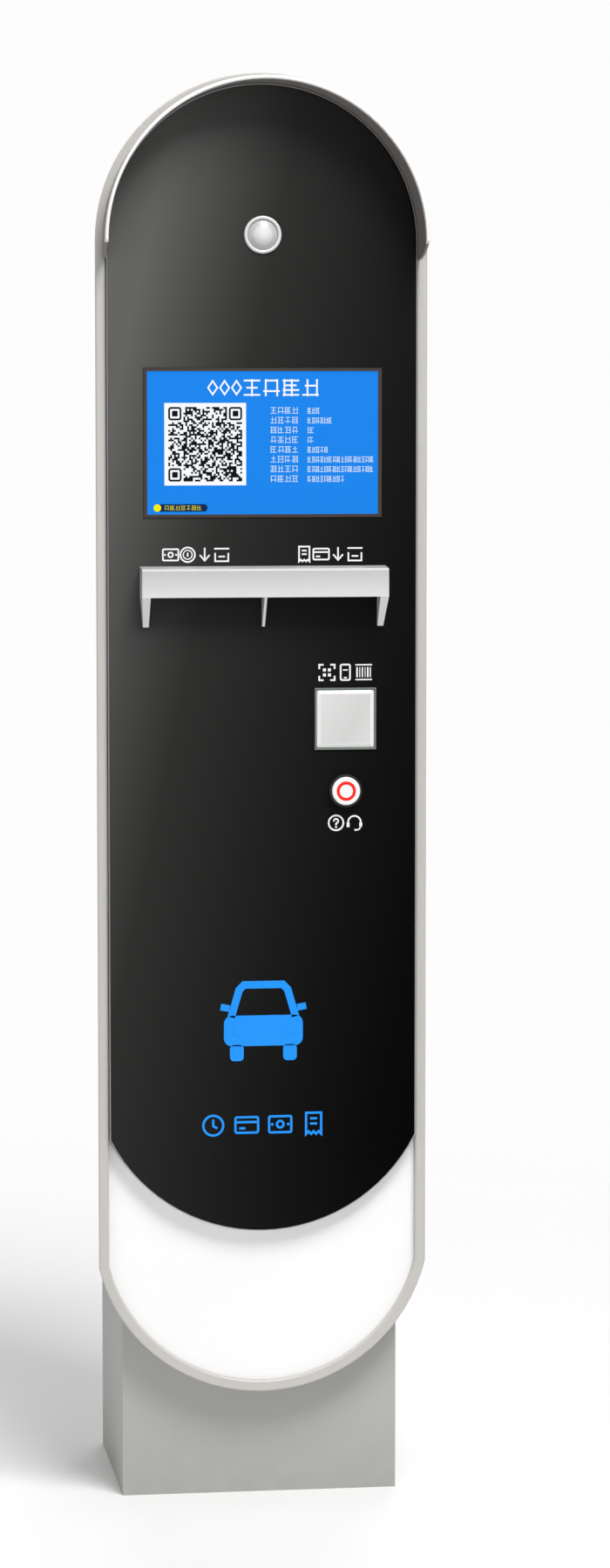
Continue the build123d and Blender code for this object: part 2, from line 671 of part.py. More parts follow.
# ---- canopy ------------------------------------------------------------------------------------
def canopy():
    """A hood that is open below, with a tapered leg at each end and a thin rib in the middle."""
    nose = GLASS_FRONT - CANOPY_REACH
    hood = make_face(Polyline(
        (GLASS_FRONT, CANOPY_TOP), (nose + 2, CANOPY_TOP - 2), (nose, CANOPY_TOP - 4),
        (nose, CANOPY_BOTTOM), (nose + CANOPY_WALL, CANOPY_BOTTOM),
        (nose + CANOPY_WALL, CANOPY_TOP - 2 - CANOPY_WALL),
        (GLASS_FRONT, CANOPY_TOP - CANOPY_WALL), close=True).edges())
    body = bar(hood, *centred(CANOPY_W))
    side = make_face(Polyline(
        (GLASS_FRONT, CANOPY_TOP - 1), (nose + 2, CANOPY_TOP - 3), (nose + 1, CANOPY_BOTTOM),
        (GLASS_FRONT - 4, CANOPY_LEG_END), (GLASS_FRONT, CANOPY_LEG_END), close=True).edges())
    width, foot = CANOPY_LEG
    inner = CANOPY_W / 2 - width
    leg = make_face(Polyline(
        (inner, CANOPY_TOP), (inner + width, CANOPY_TOP), (inner + width, CANOPY_BOTTOM),
        (inner + foot, CANOPY_LEG_END), (inner, CANOPY_LEG_END), close=True).edges())
    legs = slab(leg, nose - 1, GLASS_FRONT)
    rib_h = CANOPY_TOP - CANOPY_LEG_END
    rib = slab(rect((CANOPY_RIB, rib_h), 0, CANOPY_TOP - rib_h / 2), nose - 1, GLASS_FRONT)
    for piece in (legs, mirror(legs, Plane.YZ), rib):
        body += bar(side, *centred(CANOPY_W)) & piece
    for x in STUD_XS:
        body -= slab(disc(STUD_R + FIT, x, STUD_Z), GLASS_FRONT - 10, GLASS_FRONT + 1)
    return body


# ---- note inlet, validator and cash box --------------------------------------------------------
def slot_bezel(x):
    """A face plate with a slot, and a throat that carries the slot through the glass."""
    bezel = slab(rect(SLOT_BEZEL, x, SLOT_Z), GLASS_FRONT - SLOT_BEZEL_T, GLASS_FRONT)
    bezel = chamfer(bezel.edges().group_by(Axis.Y)[0], 1.5)
    bezel += slab(rect(SLOT_THROAT, x, SLOT_Z), GLASS_FRONT - 0.01, WEB_BACK)
    return bezel - slab(rect(SLOT, x, SLOT_Z), GLASS_FRONT - 2 * SLOT_BEZEL_T, WEB_BACK + 1)


def bill_validator():
    left = centred(VALIDATOR[0], -SLOT_X)
    top = VALIDATOR_Z + VALIDATOR[2]
    body = block(left, (WEB_BACK, WEB_BACK + VALIDATOR[1]), (VALIDATOR_Z, top))
    body = chamfer(body.edges().filter_by(Axis.X).group_by(Axis.Y)[-1], 8)
    drop = (NOTE_DROP_Y, NOTE_DROP_Y + NOTE_DROP_D)
    body -= slab(rect(SLOT, -SLOT_X, SLOT_Z), WEB_BACK - 1, drop[1])
    return body - block(centred(SLOT[0], -SLOT_X), drop, (VALIDATOR_Z - 1, SLOT_Z + SLOT[1] / 2))


CASHBOX_FRONT = PLATE_BACK + 5
RAIL_TOP = CASHBOX_Z - GAP


def cash_box():
    depth = (CASHBOX_FRONT, CASHBOX_FRONT + CASHBOX[1])
    height = (CASHBOX_Z, CASHBOX_Z + CASHBOX[2])
    box_x = centred(CASHBOX[0], -SLOT_X)
    body = block(box_x, depth, height)
    wall = CASHBOX_WALL
    body -= block((box_x[0] + wall, box_x[1] - wall), (depth[0] + wall, depth[1] - wall),
                  (height[0] + wall, height[1] - wall))
    body -= block(centred(SLOT[0], -SLOT_X), (NOTE_DROP_Y, NOTE_DROP_Y + NOTE_DROP_D),
                  (height[1] - 2 * wall, height[1] + 1))
    middle = CASHBOX_Z + CASHBOX[2] / 2
    grip = bar(Pos(depth[1], middle) * Rectangle(20, 12), *centred(50, -SLOT_X))
    hollow = bar(Pos(depth[1] + 1, middle) * Rectangle(12, 14), *centred(38, -SLOT_X))
    return body + (grip - hollow - block(box_x, depth, height))


def cash_box_rails():
    rails = []
    for side in (-1, 1):
        edge = -SLOT_X + side * CASHBOX[0] / 2
        wall = sorted((edge + side * GAP, edge + side * (GAP + RAIL_T)))
        shelf = sorted((edge - side * RAIL_LAP, edge + side * (GAP + RAIL_T)))
        depth = (PLATE_BACK, CASHBOX_FRONT + CASHBOX[1])
        rail = block(wall, depth, (RAIL_TOP - RAIL_T, RAIL_TOP + RAIL_H))
        rails.append(rail + block(shelf, depth, (RAIL_TOP - RAIL_T, RAIL_TOP)))
    return group(rails)


# ---- receipt printer ---------------------------------------------------------------------------
LID_Y = PRINTER_BACK - 2
LID_AXIS_Z = PRINTER_TOP + LID_KNUCKLE_R + 0.5
LID_HALF_W = 40.0
EAR_W = 8.0


def printer_body():
    body = block(centred(PRINTER[0], SLOT_X), (WEB_BACK, PRINTER_BACK), (PRINTER_Z, PRINTER_TOP))
    trough_y = centred(TROUGH[1], PLATEN_Y)
    body -= block(centred(TROUGH[0], SLOT_X), trough_y,
                  (PLATEN_Z - TROUGH[1] / 2, PRINTER_TOP + 1))
    body -= slab(rect(SLOT, SLOT_X, SLOT_Z), WEB_BACK - 1, PLATEN_Y)
    body -= bar(disc(PLATEN_SHAFT_R + FIT, PLATEN_Y, PLATEN_Z),
                *centred(PLATEN_L + 20, SLOT_X))
    for side in (-1, 1):
        near = SLOT_X + side * (LID_HALF_W + GAP)
        ear = sorted((near, near + side * EAR_W))
        body += bar(disc(LID_KNUCKLE_R, LID_Y, LID_AXIS_Z)
                    + Pos(LID_Y, PRINTER_TOP) * Rectangle(4, 2 * LID_KNUCKLE_R), *ear)
    return body - bar(disc(LID_PIN_R + FIT, LID_Y, LID_AXIS_Z), *centred(PRINTER[0], SLOT_X))


def printer_lid():
    width = centred(2 * LID_HALF_W, SLOT_X)
    low = PRINTER_TOP + 1
    plate = block(width, (LID_Y - LID_L, LID_Y), (low, low + LID_T))
    lid = plate + bar(disc(LID_KNUCKLE_R, LID_Y, LID_AXIS_Z), *width)
    lid += block(centred(30, SLOT_X), (LID_Y - LID_L, LID_Y - LID_L + 6), (low, low + LID_T + 4))
    return lid - bar(disc(LID_PIN_R + FIT, LID_Y, LID_AXIS_Z), *centred(PRINTER[0], SLOT_X))


def printer_lid_pin():
    return bar(disc(LID_PIN_R, LID_Y, LID_AXIS_Z), *centred(2 * (LID_HALF_W + EAR_W), SLOT_X))


def platen_roller():
    roller = bar(disc(PLATEN_R, PLATEN_Y, PLATEN_Z), *centred(PLATEN_L, SLOT_X))
    shaft = bar(disc(PLATEN_SHAFT_R, PLATEN_Y, PLATEN_Z), *centred(PLATEN_L + 19, SLOT_X))
    flat = block(centred(PLATEN_L + 19, SLOT_X), (PLATEN_Y - 1, PLATEN_Y + 1),
                 (PLATEN_Z - 1, PLATEN_Z + 1))
    return roller + shaft + flat


def roll_holder():
    holder = None
    for side in (-1, 1):
        near = SLOT_X + side * (ROLL_W / 2 + 1)
        cheek_x = sorted((near, near + side * CHEEK_T))
        cheek = block(cheek_x, (PRINTER_BACK, ROLL_Y), centred(CHEEK_H, ROLL_Z))
        cheek += bar(disc(CHEEK_H / 2, ROLL_Y, ROLL_Z), *cheek_x)
        holder = cheek if holder is None else holder + cheek
    return holder + bar(disc(SPINDLE_R, ROLL_Y, ROLL_Z), *centred(ROLL_W + 4, SLOT_X))


def paper_roll():
    width = centred(ROLL_W, SLOT_X)
    roll = bar(disc(ROLL_R, ROLL_Y, ROLL_Z), *width)
    return roll - bar(disc(SPINDLE_R + 2 * FIT, ROLL_Y, ROLL_Z), *centred(ROLL_W + 2, SLOT_X))


# ---- scanner -----------------------------------------------------------------------------------
SCANNER_VIEW = SCANNER - 4 * SCANNER_RING
SCANNER_FACE = GLASS_FRONT - 2


def scanner_bezel():
    ring = slab(rect((SCANNER, SCANNER), SCANNER_X, SCANNER_Z), SCANNER_FACE, GLASS_FRONT)
    through = (SCANNER - 2 * SCANNER_RING,) * 2
    ring += slab(rect(through, SCANNER_X, SCANNER_Z), GLASS_FRONT - 0.01, WEB_BACK)
    view = rect((SCANNER_VIEW, SCANNER_VIEW), SCANNER_X, SCANNER_Z)
    return ring - slab(view, SCANNER_FACE - 1, WEB_BACK + 1)


def scanner_window():
    size = (SCANNER_VIEW - GAP,) * 2
    window = slab(rect(size, SCANNER_X, SCANNER_Z), SCANNER_FACE - 0.5, WEB_BACK)
    return chamfer(window.edges().group_by(Axis.Y)[0], 2)


def scanner_module():
    width, depth = SCANNER_MODULE
    size = rect((width, width), SCANNER_X, SCANNER_Z)
    return chamfer(slab(size, WEB_BACK, WEB_BACK + depth).edges().group_by(Axis.Y)[-1], 4)


# ---- help button -------------------------------------------------------------------------------
CAP_BACK = GLASS_FRONT - HELP_TRAVEL - 1
STEM_END = WEB_BACK + HELP_BARREL_L - HELP_TRAVEL - 3


def help_button_body():
    ring = slab(disc(HELP_R, SCANNER_X, HELP_Z), CAP_BACK - 2, GLASS_FRONT)
    ring -= slab(disc(HELP_CAP_R + GAP, SCANNER_X, HELP_Z), CAP_BACK - 3, GLASS_FRONT - 0.8)
    ring += slab(disc(HELP_BARREL_R, SCANNER_X, HELP_Z), GLASS_FRONT - 0.8,
                 WEB_BACK + HELP_BARREL_L)
    bore = disc(HELP_STEM_R + 2 * FIT, SCANNER_X, HELP_Z)
    return ring - slab(bore, GLASS_FRONT - 5, WEB_BACK + HELP_BARREL_L - 2)


def help_button_cap():
    cap = slab(disc(HELP_CAP_R, SCANNER_X, HELP_Z), CAP_BACK - HELP_CAP_T, CAP_BACK)
    cap = fillet(cap.edges().sort_by(Axis.Y)[0], 1.2)
    return cap + slab(disc(HELP_STEM_R, SCANNER_X, HELP_Z), CAP_BACK - 0.01, STEM_END)


def help_button_nut():
    nut = slab(Pos(SCANNER_X, HELP_Z) * RegularPolygon(HELP_NUT_R, 6), WEB_BACK, WEB_BACK + 5)
    return nut - slab(disc(HELP_BARREL_R + FIT, SCANNER_X, HELP_Z), WEB_BACK - 1, WEB_BACK + 6)


# ---- rear door ---------------------------------------------------------------------------------
RETURN_FRONT = DOOR_FRONT - DOOR_RETURN
CAM_BACK = RETURN_FRONT - 3


def door_seal():
    ring = slab(door_outline(3), CASING_BACK, CASING_BACK + SEAL_T)
    return ring - slab(door_outline(3 + SEAL_W), CASING_BACK - 1, CASING_BACK + SEAL_T + 1)


def rear_door():
    door = slab(door_outline(0), DOOR_FRONT, DOOR_BACK)
    door += (slab(door_outline(DOOR_RETURN_INSET), RETURN_FRONT, DOOR_FRONT)
             - slab(door_outline(DOOR_RETURN_INSET + DOOR_T), RETURN_FRONT - 1, DOOR_FRONT))
    for middle, count in VENT_ZS:
        for i in range(count):
            z = middle + (i - (count - 1) / 2) * VENT_PITCH
            slot = Pos(0, z) * SlotOverall(VENT[0], VENT[1])
            door -= slab(slot, DOOR_FRONT - 1, DOOR_BACK + 1)
    return door - slab(disc(LOCK_R + FIT, LOCK_X, LOCK_Z), DOOR_FRONT - 1, DOOR_BACK + 1)


def knuckle(z_low, z_high):
    return post(HINGE_X, HINGE_Y, HINGE_R, z_low, z_high)


def hinge_bore(z):
    reach = 2 * KNUCKLE_H
    return post(HINGE_X, HINGE_Y, HINGE_PIN_R + FIT, z - reach, z + reach)


def door_hinge_leaves():
    leaves = []
    half = KNUCKLE_H / 2 - GAP
    for z in HINGE_ZS:
        leaf = block((DOOR_HALF_W - LEAF_W, HINGE_X), (DOOR_BACK, DOOR_BACK + LEAF_T),
                     (z - half, z + half))
        leaves.append(leaf + knuckle(z - half, z + half) - hinge_bore(z))
    return group(leaves)


def frame_hinge_leaves():
    leaves = []
    for z in HINGE_ZS:
        for side in (-1, 1):
            span = sorted((z + side * KNUCKLE_H / 2, z + side * 1.5 * KNUCKLE_H))
            leaf = block((HINGE_X - 1, HINGE_X + FRAME_LEAF_W),
                         (CASING_BACK, CASING_BACK + LEAF_T), span)
            neck = block((HINGE_X - 1, HINGE_X + HINGE_R), (CASING_BACK, HINGE_Y), span)
            leaves.append(leaf + neck + knuckle(*span) - hinge_bore(z))
    return group(leaves)


def hinge_pins():
    pins = []
    for z in HINGE_ZS:
        reach = 1.5 * KNUCKLE_H
        pin = post(HINGE_X, HINGE_Y, HINGE_PIN_R, z - reach, z + reach)
        pins.append(pin + post(HINGE_X, HINGE_Y, HINGE_R - 1, z + reach, z + reach + 2))
    return group(pins)


def lock_housing():
    body = slab(disc(LOCK_R, LOCK_X, LOCK_Z), CAM_BACK + GAP, DOOR_BACK)
    head = slab(disc(LOCK_HEAD_R, LOCK_X, LOCK_Z), DOOR_BACK, DOOR_BACK + LOCK_HEAD_T)
    bore = disc(BARREL_R + FIT, LOCK_X, LOCK_Z)
    return body + chamfer(head.edges().sort_by(Axis.Y)[-1], 1) - slab(bore, CAM_BACK, DOOR_BACK + 5)


def lock_nut():
    ring = slab(Pos(LOCK_X, LOCK_Z) * RegularPolygon(LOCK_HEAD_R, 6), DOOR_FRONT - 4, DOOR_FRONT)
    return ring - slab(disc(LOCK_R + FIT, LOCK_X, LOCK_Z), DOOR_FRONT - 5, DOOR_FRONT + 1)


def lock_cam():
    barrel = slab(disc(BARREL_R, LOCK_X, LOCK_Z), CAM_BACK - CAM_T, DOOR_BACK + LOCK_HEAD_T)
    key_slot = rect((1.6, 7), LOCK_X, LOCK_Z)
    barrel -= slab(key_slot, DOOR_BACK - 6, DOOR_BACK + LOCK_HEAD_T + 1)
    arm = rect((2 * CAM_HALF_W, CAM_REACH), LOCK_X, LOCK_Z - CAM_REACH / 2)
    arm += disc(CAM_HALF_W, LOCK_X, LOCK_Z) + disc(CAM_HALF_W, LOCK_X, LOCK_Z - CAM_REACH)
    return barrel + slab(arm, CAM_BACK - CAM_T, CAM_BACK)


FAN_HOLE_R = FAN / 2 - 3
FAN_BACK = DOOR_FRONT
SPOKE_T = 3.0


def fan_frame():
    frame = slab(rect((FAN, FAN), 0, FAN_Z), FAN_BACK - FAN_T, FAN_BACK)
    frame -= slab(disc(FAN_HOLE_R, 0, FAN_Z), FAN_BACK - FAN_T - 1, FAN_BACK + 1)
    hub = slab(disc(FAN_HUB_R, 0, FAN_Z), FAN_BACK - SPOKE_T, FAN_BACK)
    for turn in (45, 135):
        spoke = Pos(0, FAN_Z) * Rot(0, 0, turn) * Rectangle(2 * FAN_HOLE_R + 4, 5)
        hub += slab(spoke, FAN_BACK - SPOKE_T, FAN_BACK)
    pin = slab(disc(HINGE_PIN_R, 0, FAN_Z), FAN_BACK - FAN_T + 4, FAN_BACK)
    return frame + hub + pin


def fan_rotor():
    back = FAN_BACK - SPOKE_T - GAP
    front = FAN_BACK - FAN_T + 1
    rotor = slab(disc(FAN_HUB_R, 0, FAN_Z), front, back)
    for i in range(FAN_BLADES):
        blade = Pos((FAN_HOLE_R + FAN_HUB_R) / 2 - 1, 0, 0) * Rot(38, 0, 0) * Box(
            FAN_HOLE_R - FAN_HUB_R, 2, 17)
        place = Pos(0, (front + back) / 2, FAN_Z) * Rot(0, 360 / FAN_BLADES * i, 0) * Rot(90, 0, 0)
        rotor += place * blade
    return rotor - slab(disc(HINGE_PIN_R + FIT, 0, FAN_Z), front + 2, back + 1)


# ---- inside the casing -------------------------------------------------------------------------
STANDOFFS = [(x, z) for x in centred(2 * STANDOFF_X) for z in STANDOFF_ZS]


def equipment_plate():
    plate = block(centred(PLATE_W), (PLATE_Y, PLATE_BACK), (FLOOR_TOP, PLATE_TOP))
    plate += block(centred(PLATE_W - 40), (PLATE_Y, PLATE_BACK + PLATE_FOOT),
                   (FLOOR_TOP, FLOOR_TOP + PLATE_T))
    for x, z in STANDOFFS:
        plate -= screw_hole(x, z, PLATE_Y - 1, PLATE_BACK + 1)
    for x, y in POST_PLACES:
        plate -= post(x, y, BOLT_HEAD_R + 1, FLOOR_TOP - 1, FLOOR_TOP + 2 * BOLT_HEAD_H)
    return plate


def plate_standoffs():
    return group(slab(disc(STANDOFF_R, x, z), FRAME_BACK, PLATE_Y)
                 + screw(x, z, PLATE_BACK, LEDGE_FRONT) for x, z in STANDOFFS)


def controller_box():
    width, depth, height = CONTROLLER
    box = block(centred(width), (PLATE_BACK, PLATE_BACK + depth), centred(height, CONTROLLER_Z))
    box = fillet(box.edges().filter_by(Axis.Y), 4)
    for i in range(5):
        x = (i - 2) * 26
        port = block(centred(18, x), (PLATE_BACK + 18, PLATE_BACK + 34),
                     (CONTROLLER_Z - height / 2 - 1, CONTROLLER_Z - height / 2 + 6))
        box -= port
    return box


def power_supply():
    width, depth, height = SUPPLY
    box = block(centred(width), (PLATE_BACK, PLATE_BACK + depth), centred(height, SUPPLY_Z))
    for i in range(9):
        vent = Pos((i - 4) * 14, SUPPLY_Z) * SlotOverall(70, 5, 90)
        box -= slab(vent, PLATE_BACK + depth - 3, PLATE_BACK + depth + 1)
    return box


def din_rail():
    width, depth, height = DIN
    back = PLATE_BACK + depth
    rail = bar(rect((1, height), back - 0.5, DIN_Z), *centred(width))
    rail += bar(rect((1, height - 8), PLATE_BACK + 0.5, DIN_Z), *centred(width))
    for side in (-1, 1):
        web = rect((depth, 1), PLATE_BACK + depth / 2, DIN_Z + side * (height / 2 - 4.5))
        rail += bar(web, *centred(width))
    return rail - bar(rect((4, height - 10), back, DIN_Z), -width, width)


BREAKER_FRONT = PLATE_BACK + DIN[1]
BREAKER_BACK = BREAKER_FRONT + BREAKER[1]
LEVER_Y = BREAKER_BACK - LEVER_R


def breaker_body():
    body = block(centred(BREAKER[0], BREAKER_X), (BREAKER_FRONT, BREAKER_BACK),
                 centred(BREAKER[2], DIN_Z))
    slot_x = centred(LEVER_W + 2 * GAP, BREAKER_X)
    body -= block(slot_x, (BREAKER_BACK - LEVER_SLOT_D, BREAKER_BACK + 1),
                  centred(4.6 * LEVER_R, DIN_Z))
    body = body - bar(disc(LEVER_PIN_R + FIT, LEVER_Y, DIN_Z), *centred(22, BREAKER_X))
    return chamfer(body.edges().filter_by(Axis.X).group_by(Axis.Y)[-1].sort_by(Axis.Z)[-1], 4)


def breaker_lever():
    width = centred(LEVER_W, BREAKER_X)
    arm = Pos(LEVER_Y, DIN_Z) * Rot(0, 0, 30) * Pos(LEVER_L / 2, 0) * Rectangle(LEVER_L, 5)
    lever = bar(disc(LEVER_R, LEVER_Y, DIN_Z) + arm, *width)
    return lever + bar(disc(LEVER_PIN_R, LEVER_Y, DIN_Z), *centred(21, BREAKER_X))


PARTS = {
    "plinth": plinth, "base_plate": base_plate, "plinth_deck": plinth_deck,
    "plinth_cover": plinth_cover, "mounting_posts": mounting_posts, "casing_bolts": casing_bolts,
    "casing_top": casing_top, "casing_sides": casing_sides, "casing_bottom": casing_bottom,
    "rear_frame": rear_frame, "front_frame": front_frame,
    "lower_front_panel": lower_front_panel, "floor_tray": floor_tray, "cable_gland": cable_gland,
    "panel_carrier": panel_carrier, "front_glass": front_glass,
    "screws_and_studs": screws_and_studs,
    "visor": visor, "visor_trim": visor_trim,
    "sensor_bezel": sensor_bezel, "sensor_dome": sensor_dome, "sensor_module": sensor_module,
    "screen_bezel": screen_bezel, "display_panel": display_panel,
    "display_housing": display_housing,
    "canopy": canopy,
    "note_bezel": lambda: slot_bezel(-SLOT_X), "receipt_bezel": lambda: slot_bezel(SLOT_X),
    "bill_validator": bill_validator, "cash_box": cash_box, "cash_box_rails": cash_box_rails,
    "printer_body": printer_body, "printer_lid": printer_lid, "printer_lid_pin": printer_lid_pin,
    "platen_roller": platen_roller, "roll_holder": roll_holder, "paper_roll": paper_roll,
    "scanner_bezel": scanner_bezel, "scanner_window": scanner_window,
    "scanner_module": scanner_module,
    "help_button_body": help_button_body, "help_button_cap": help_button_cap,
    "help_button_nut": help_button_nut,
    "door_seal": door_seal, "rear_door": rear_door, "door_hinge_leaves": door_hinge_leaves,
    "frame_hinge_leaves": frame_hinge_leaves, "hinge_pins": hinge_pins,
    "lock_housing": lock_housing, "lock_nut": lock_nut, "lock_cam": lock_cam,
    "fan_frame": fan_frame, "fan_rotor": fan_rotor,
    "equipment_plate": equipment_plate, "plate_standoffs": plate_standoffs,
    "controller_box": controller_box, "power_supply": power_supply, "din_rail": din_rail,
    "breaker_body": breaker_body, "breaker_lever": breaker_lever,
}

os.makedirs("parts", exist_ok=True)
for name, build in PARTS.items():
    export_step(build(), f"parts/{name}.step")
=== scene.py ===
import json
import math

import bmesh
import bpy
import numpy as np
from bpy.props import FloatProperty, FloatVectorProperty, IntProperty, PointerProperty
from bpy.types import Operator, Panel, PropertyGroup
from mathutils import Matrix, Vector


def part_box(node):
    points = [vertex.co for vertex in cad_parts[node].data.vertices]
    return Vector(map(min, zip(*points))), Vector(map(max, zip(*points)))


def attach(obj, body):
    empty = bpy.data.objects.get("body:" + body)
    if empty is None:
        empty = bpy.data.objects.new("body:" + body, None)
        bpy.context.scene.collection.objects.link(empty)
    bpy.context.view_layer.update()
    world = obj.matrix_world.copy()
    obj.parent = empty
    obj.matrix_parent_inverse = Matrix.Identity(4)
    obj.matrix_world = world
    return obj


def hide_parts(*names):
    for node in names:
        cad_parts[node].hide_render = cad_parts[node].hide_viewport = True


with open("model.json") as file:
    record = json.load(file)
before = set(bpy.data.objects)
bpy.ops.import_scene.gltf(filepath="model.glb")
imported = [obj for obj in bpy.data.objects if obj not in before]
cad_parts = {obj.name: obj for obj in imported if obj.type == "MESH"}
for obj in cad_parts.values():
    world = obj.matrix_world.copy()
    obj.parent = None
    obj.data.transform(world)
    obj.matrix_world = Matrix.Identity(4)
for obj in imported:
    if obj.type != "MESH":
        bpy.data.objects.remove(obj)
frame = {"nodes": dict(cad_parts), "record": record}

bl_info = {
    "name": "Pay station",
    "version": (1, 0, 0),
    "blender": (4, 5, 0),
    "location": "3D View > Sidebar > Pay station",
    "description": "The visible pieces and finishes of a parking pay station, round its frame",
    "category": "Object",
}

MM = 0.001
AIR_STRENGTH = 0.42
LAMPS = (                  # name, place, side length and power in watts
    ("key", (1.0, -2.7, 5.1), 2.1, 235.0),
    ("fill", (-3.6, -2.8, 1.6), 2.6, 20.0),
    ("rear", (0.8, 4.2, 3.2), 3.0, 70.0),
)
AIM = (0.0, 0.0, 0.9)      # the middle of the object, which every lamp faces
CAMERA_PLACE = (-0.63194, -5.14676, 1.27472)
CAMERA_DOWN = 5.1524       # degrees below level
CAMERA_RIGHT = 7.7688      # degrees to the right of straight ahead
DOT = 0.62                 # a dot's radius, as a share of the line's width


# ---- measures taken from the frame -------------------------------------------------------------
def low(node):
    return np.array(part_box(node)[0])


def high(node):
    return np.array(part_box(node)[1])


def middle(node):
    return (low(node) + high(node)) / 2


BODY_OF = {node: body for body, nodes in frame["record"]["behaviour"]["bodies"].items()
           for node in nodes}
SLOT_OF = {part["node"]: part["material_slot"] for part in frame["record"]["subparts"]}

HALF_W = high("front_frame")[0]
ARC_Z = high("front_frame")[2] - HALF_W
SKIN_FRONT = low("casing_sides")[1]
SKIN_BACK = high("casing_sides")[1]
SKIN_BOTTOM = low("front_frame")[2]
GLASS_Y = low("front_glass")[1]
DOOR_Y = high("rear_door")[1]


# ---- colours -----------------------------------------------------------------------------------
def light(*values):
    """Screen values from 0 to 255 as the linear colour that Blender works in.

    The curve is that of a screen: a straight piece near black, and a power of 2.4 above it.
    """
    v = np.array(values) / 255
    return tuple(np.where(v <= 0.04045, v / 12.92, ((v + 0.055) / 1.055) ** 2.4))


def colour(label, note, *values):
    return FloatVectorProperty(name=label, description=note, default=light(*values),
                               subtype="COLOR", size=3, min=0.0, max=1.0)


def length(label, note, default):
    return FloatProperty(name=label, description=note, default=default, unit="LENGTH", min=0.0,
                         precision=5)


class PayStationColours(PropertyGroup):
    """The colours that a user would change."""

    casing: colour("Casing", "Powder coat of the casing and its rim", 199, 196, 192)
    lower: colour("Lower face", "Powder coat of the white lower face", 252, 252, 252)
    plinth: colour("Plinth", "Powder coat of the plinth", 176, 176, 173)
    visor: colour("Visor", "Paint of the visor over the lens", 136, 129, 124)
    trim: colour("Visor edge", "Edge strip of the visor", 248, 248, 248)
    canopy: colour("Canopy", "Anodised canopy over the slots", 219, 219, 219)
    screen: colour("Screen", "Lit background of the display", 27, 135, 240)
    ink: colour("Print", "White print on the glass", 248, 248, 248)
    mark: colour("Mark", "Blue print on the glass", 0, 150, 255)
    ring: colour("Help ring", "Ring on the help button", 255, 24, 10)
    # The glass's light-corner and middle colours are a painted reflection on it; its dark corner is
    # the glass's own near-black.
    glass_light: colour("Glass, light corner", "Smoked glass at its upper left", 96, 97, 95)
    glass_mid: colour("Glass, middle", "Smoked glass where its fade eases", 46, 46, 45)
    glass_dark: colour("Glass, dark corner", "Smoked glass at its lower right", 1, 1, 1)


class PayStationSizes(PropertyGroup):
    """The sizes that a user would change."""

    sheet: length("Sheet", "Thickness of the casing's sheet", 2.5 * MM)
    casing_drop: length("Casing drop", "Height of the casing's rounded bottom", 147.25 * MM)
    fold: length("Fold", "Radius of the folded sheet edges", 1.2 * MM)
    print_t: length("Print", "Thickness of the printed film", 0.12 * MM)
    stroke: length("Stroke", "Width of the pictograms' lines", 2.1 * MM)
    code_cells: IntProperty(name="Code cells", description="Cells along the code's side",
                            default=39, min=21, max=57)
    vent_pitch: length("Vent pitch", "Distance between vent slots", 11 * MM)
    vent_w: length("Vent width", "Width of a vent slot", 66 * MM)
    lens: FloatProperty(name="Lens", description="Focal length of the camera in millimetres",
                        default=102.56, min=20.0, max=300.0)


def colours():
    return bpy.context.scene.pay_colours


def sizes():
    return bpy.context.scene.pay_sizes


# ---- finishes: shader helpers ------------------------------------------------------------------
class Wire:
    """An output of a node, which adds Math nodes when it is used in an expression."""

    def __init__(self, finish, socket):
        self.finish = finish
        self.socket = socket

    def __add__(self, other):
        return self.finish.maths("ADD", self, other)

    def __radd__(self, other):
        return self.finish.maths("ADD", other, self)

    def __sub__(self, other):
        return self.finish.maths("SUBTRACT", self, other)

    def __rsub__(self, other):
        return self.finish.maths("SUBTRACT", other, self)

    def __mul__(self, other):
        return self.finish.maths("MULTIPLY", self, other)

    def __rmul__(self, other):
        return self.finish.maths("MULTIPLY", other, self)


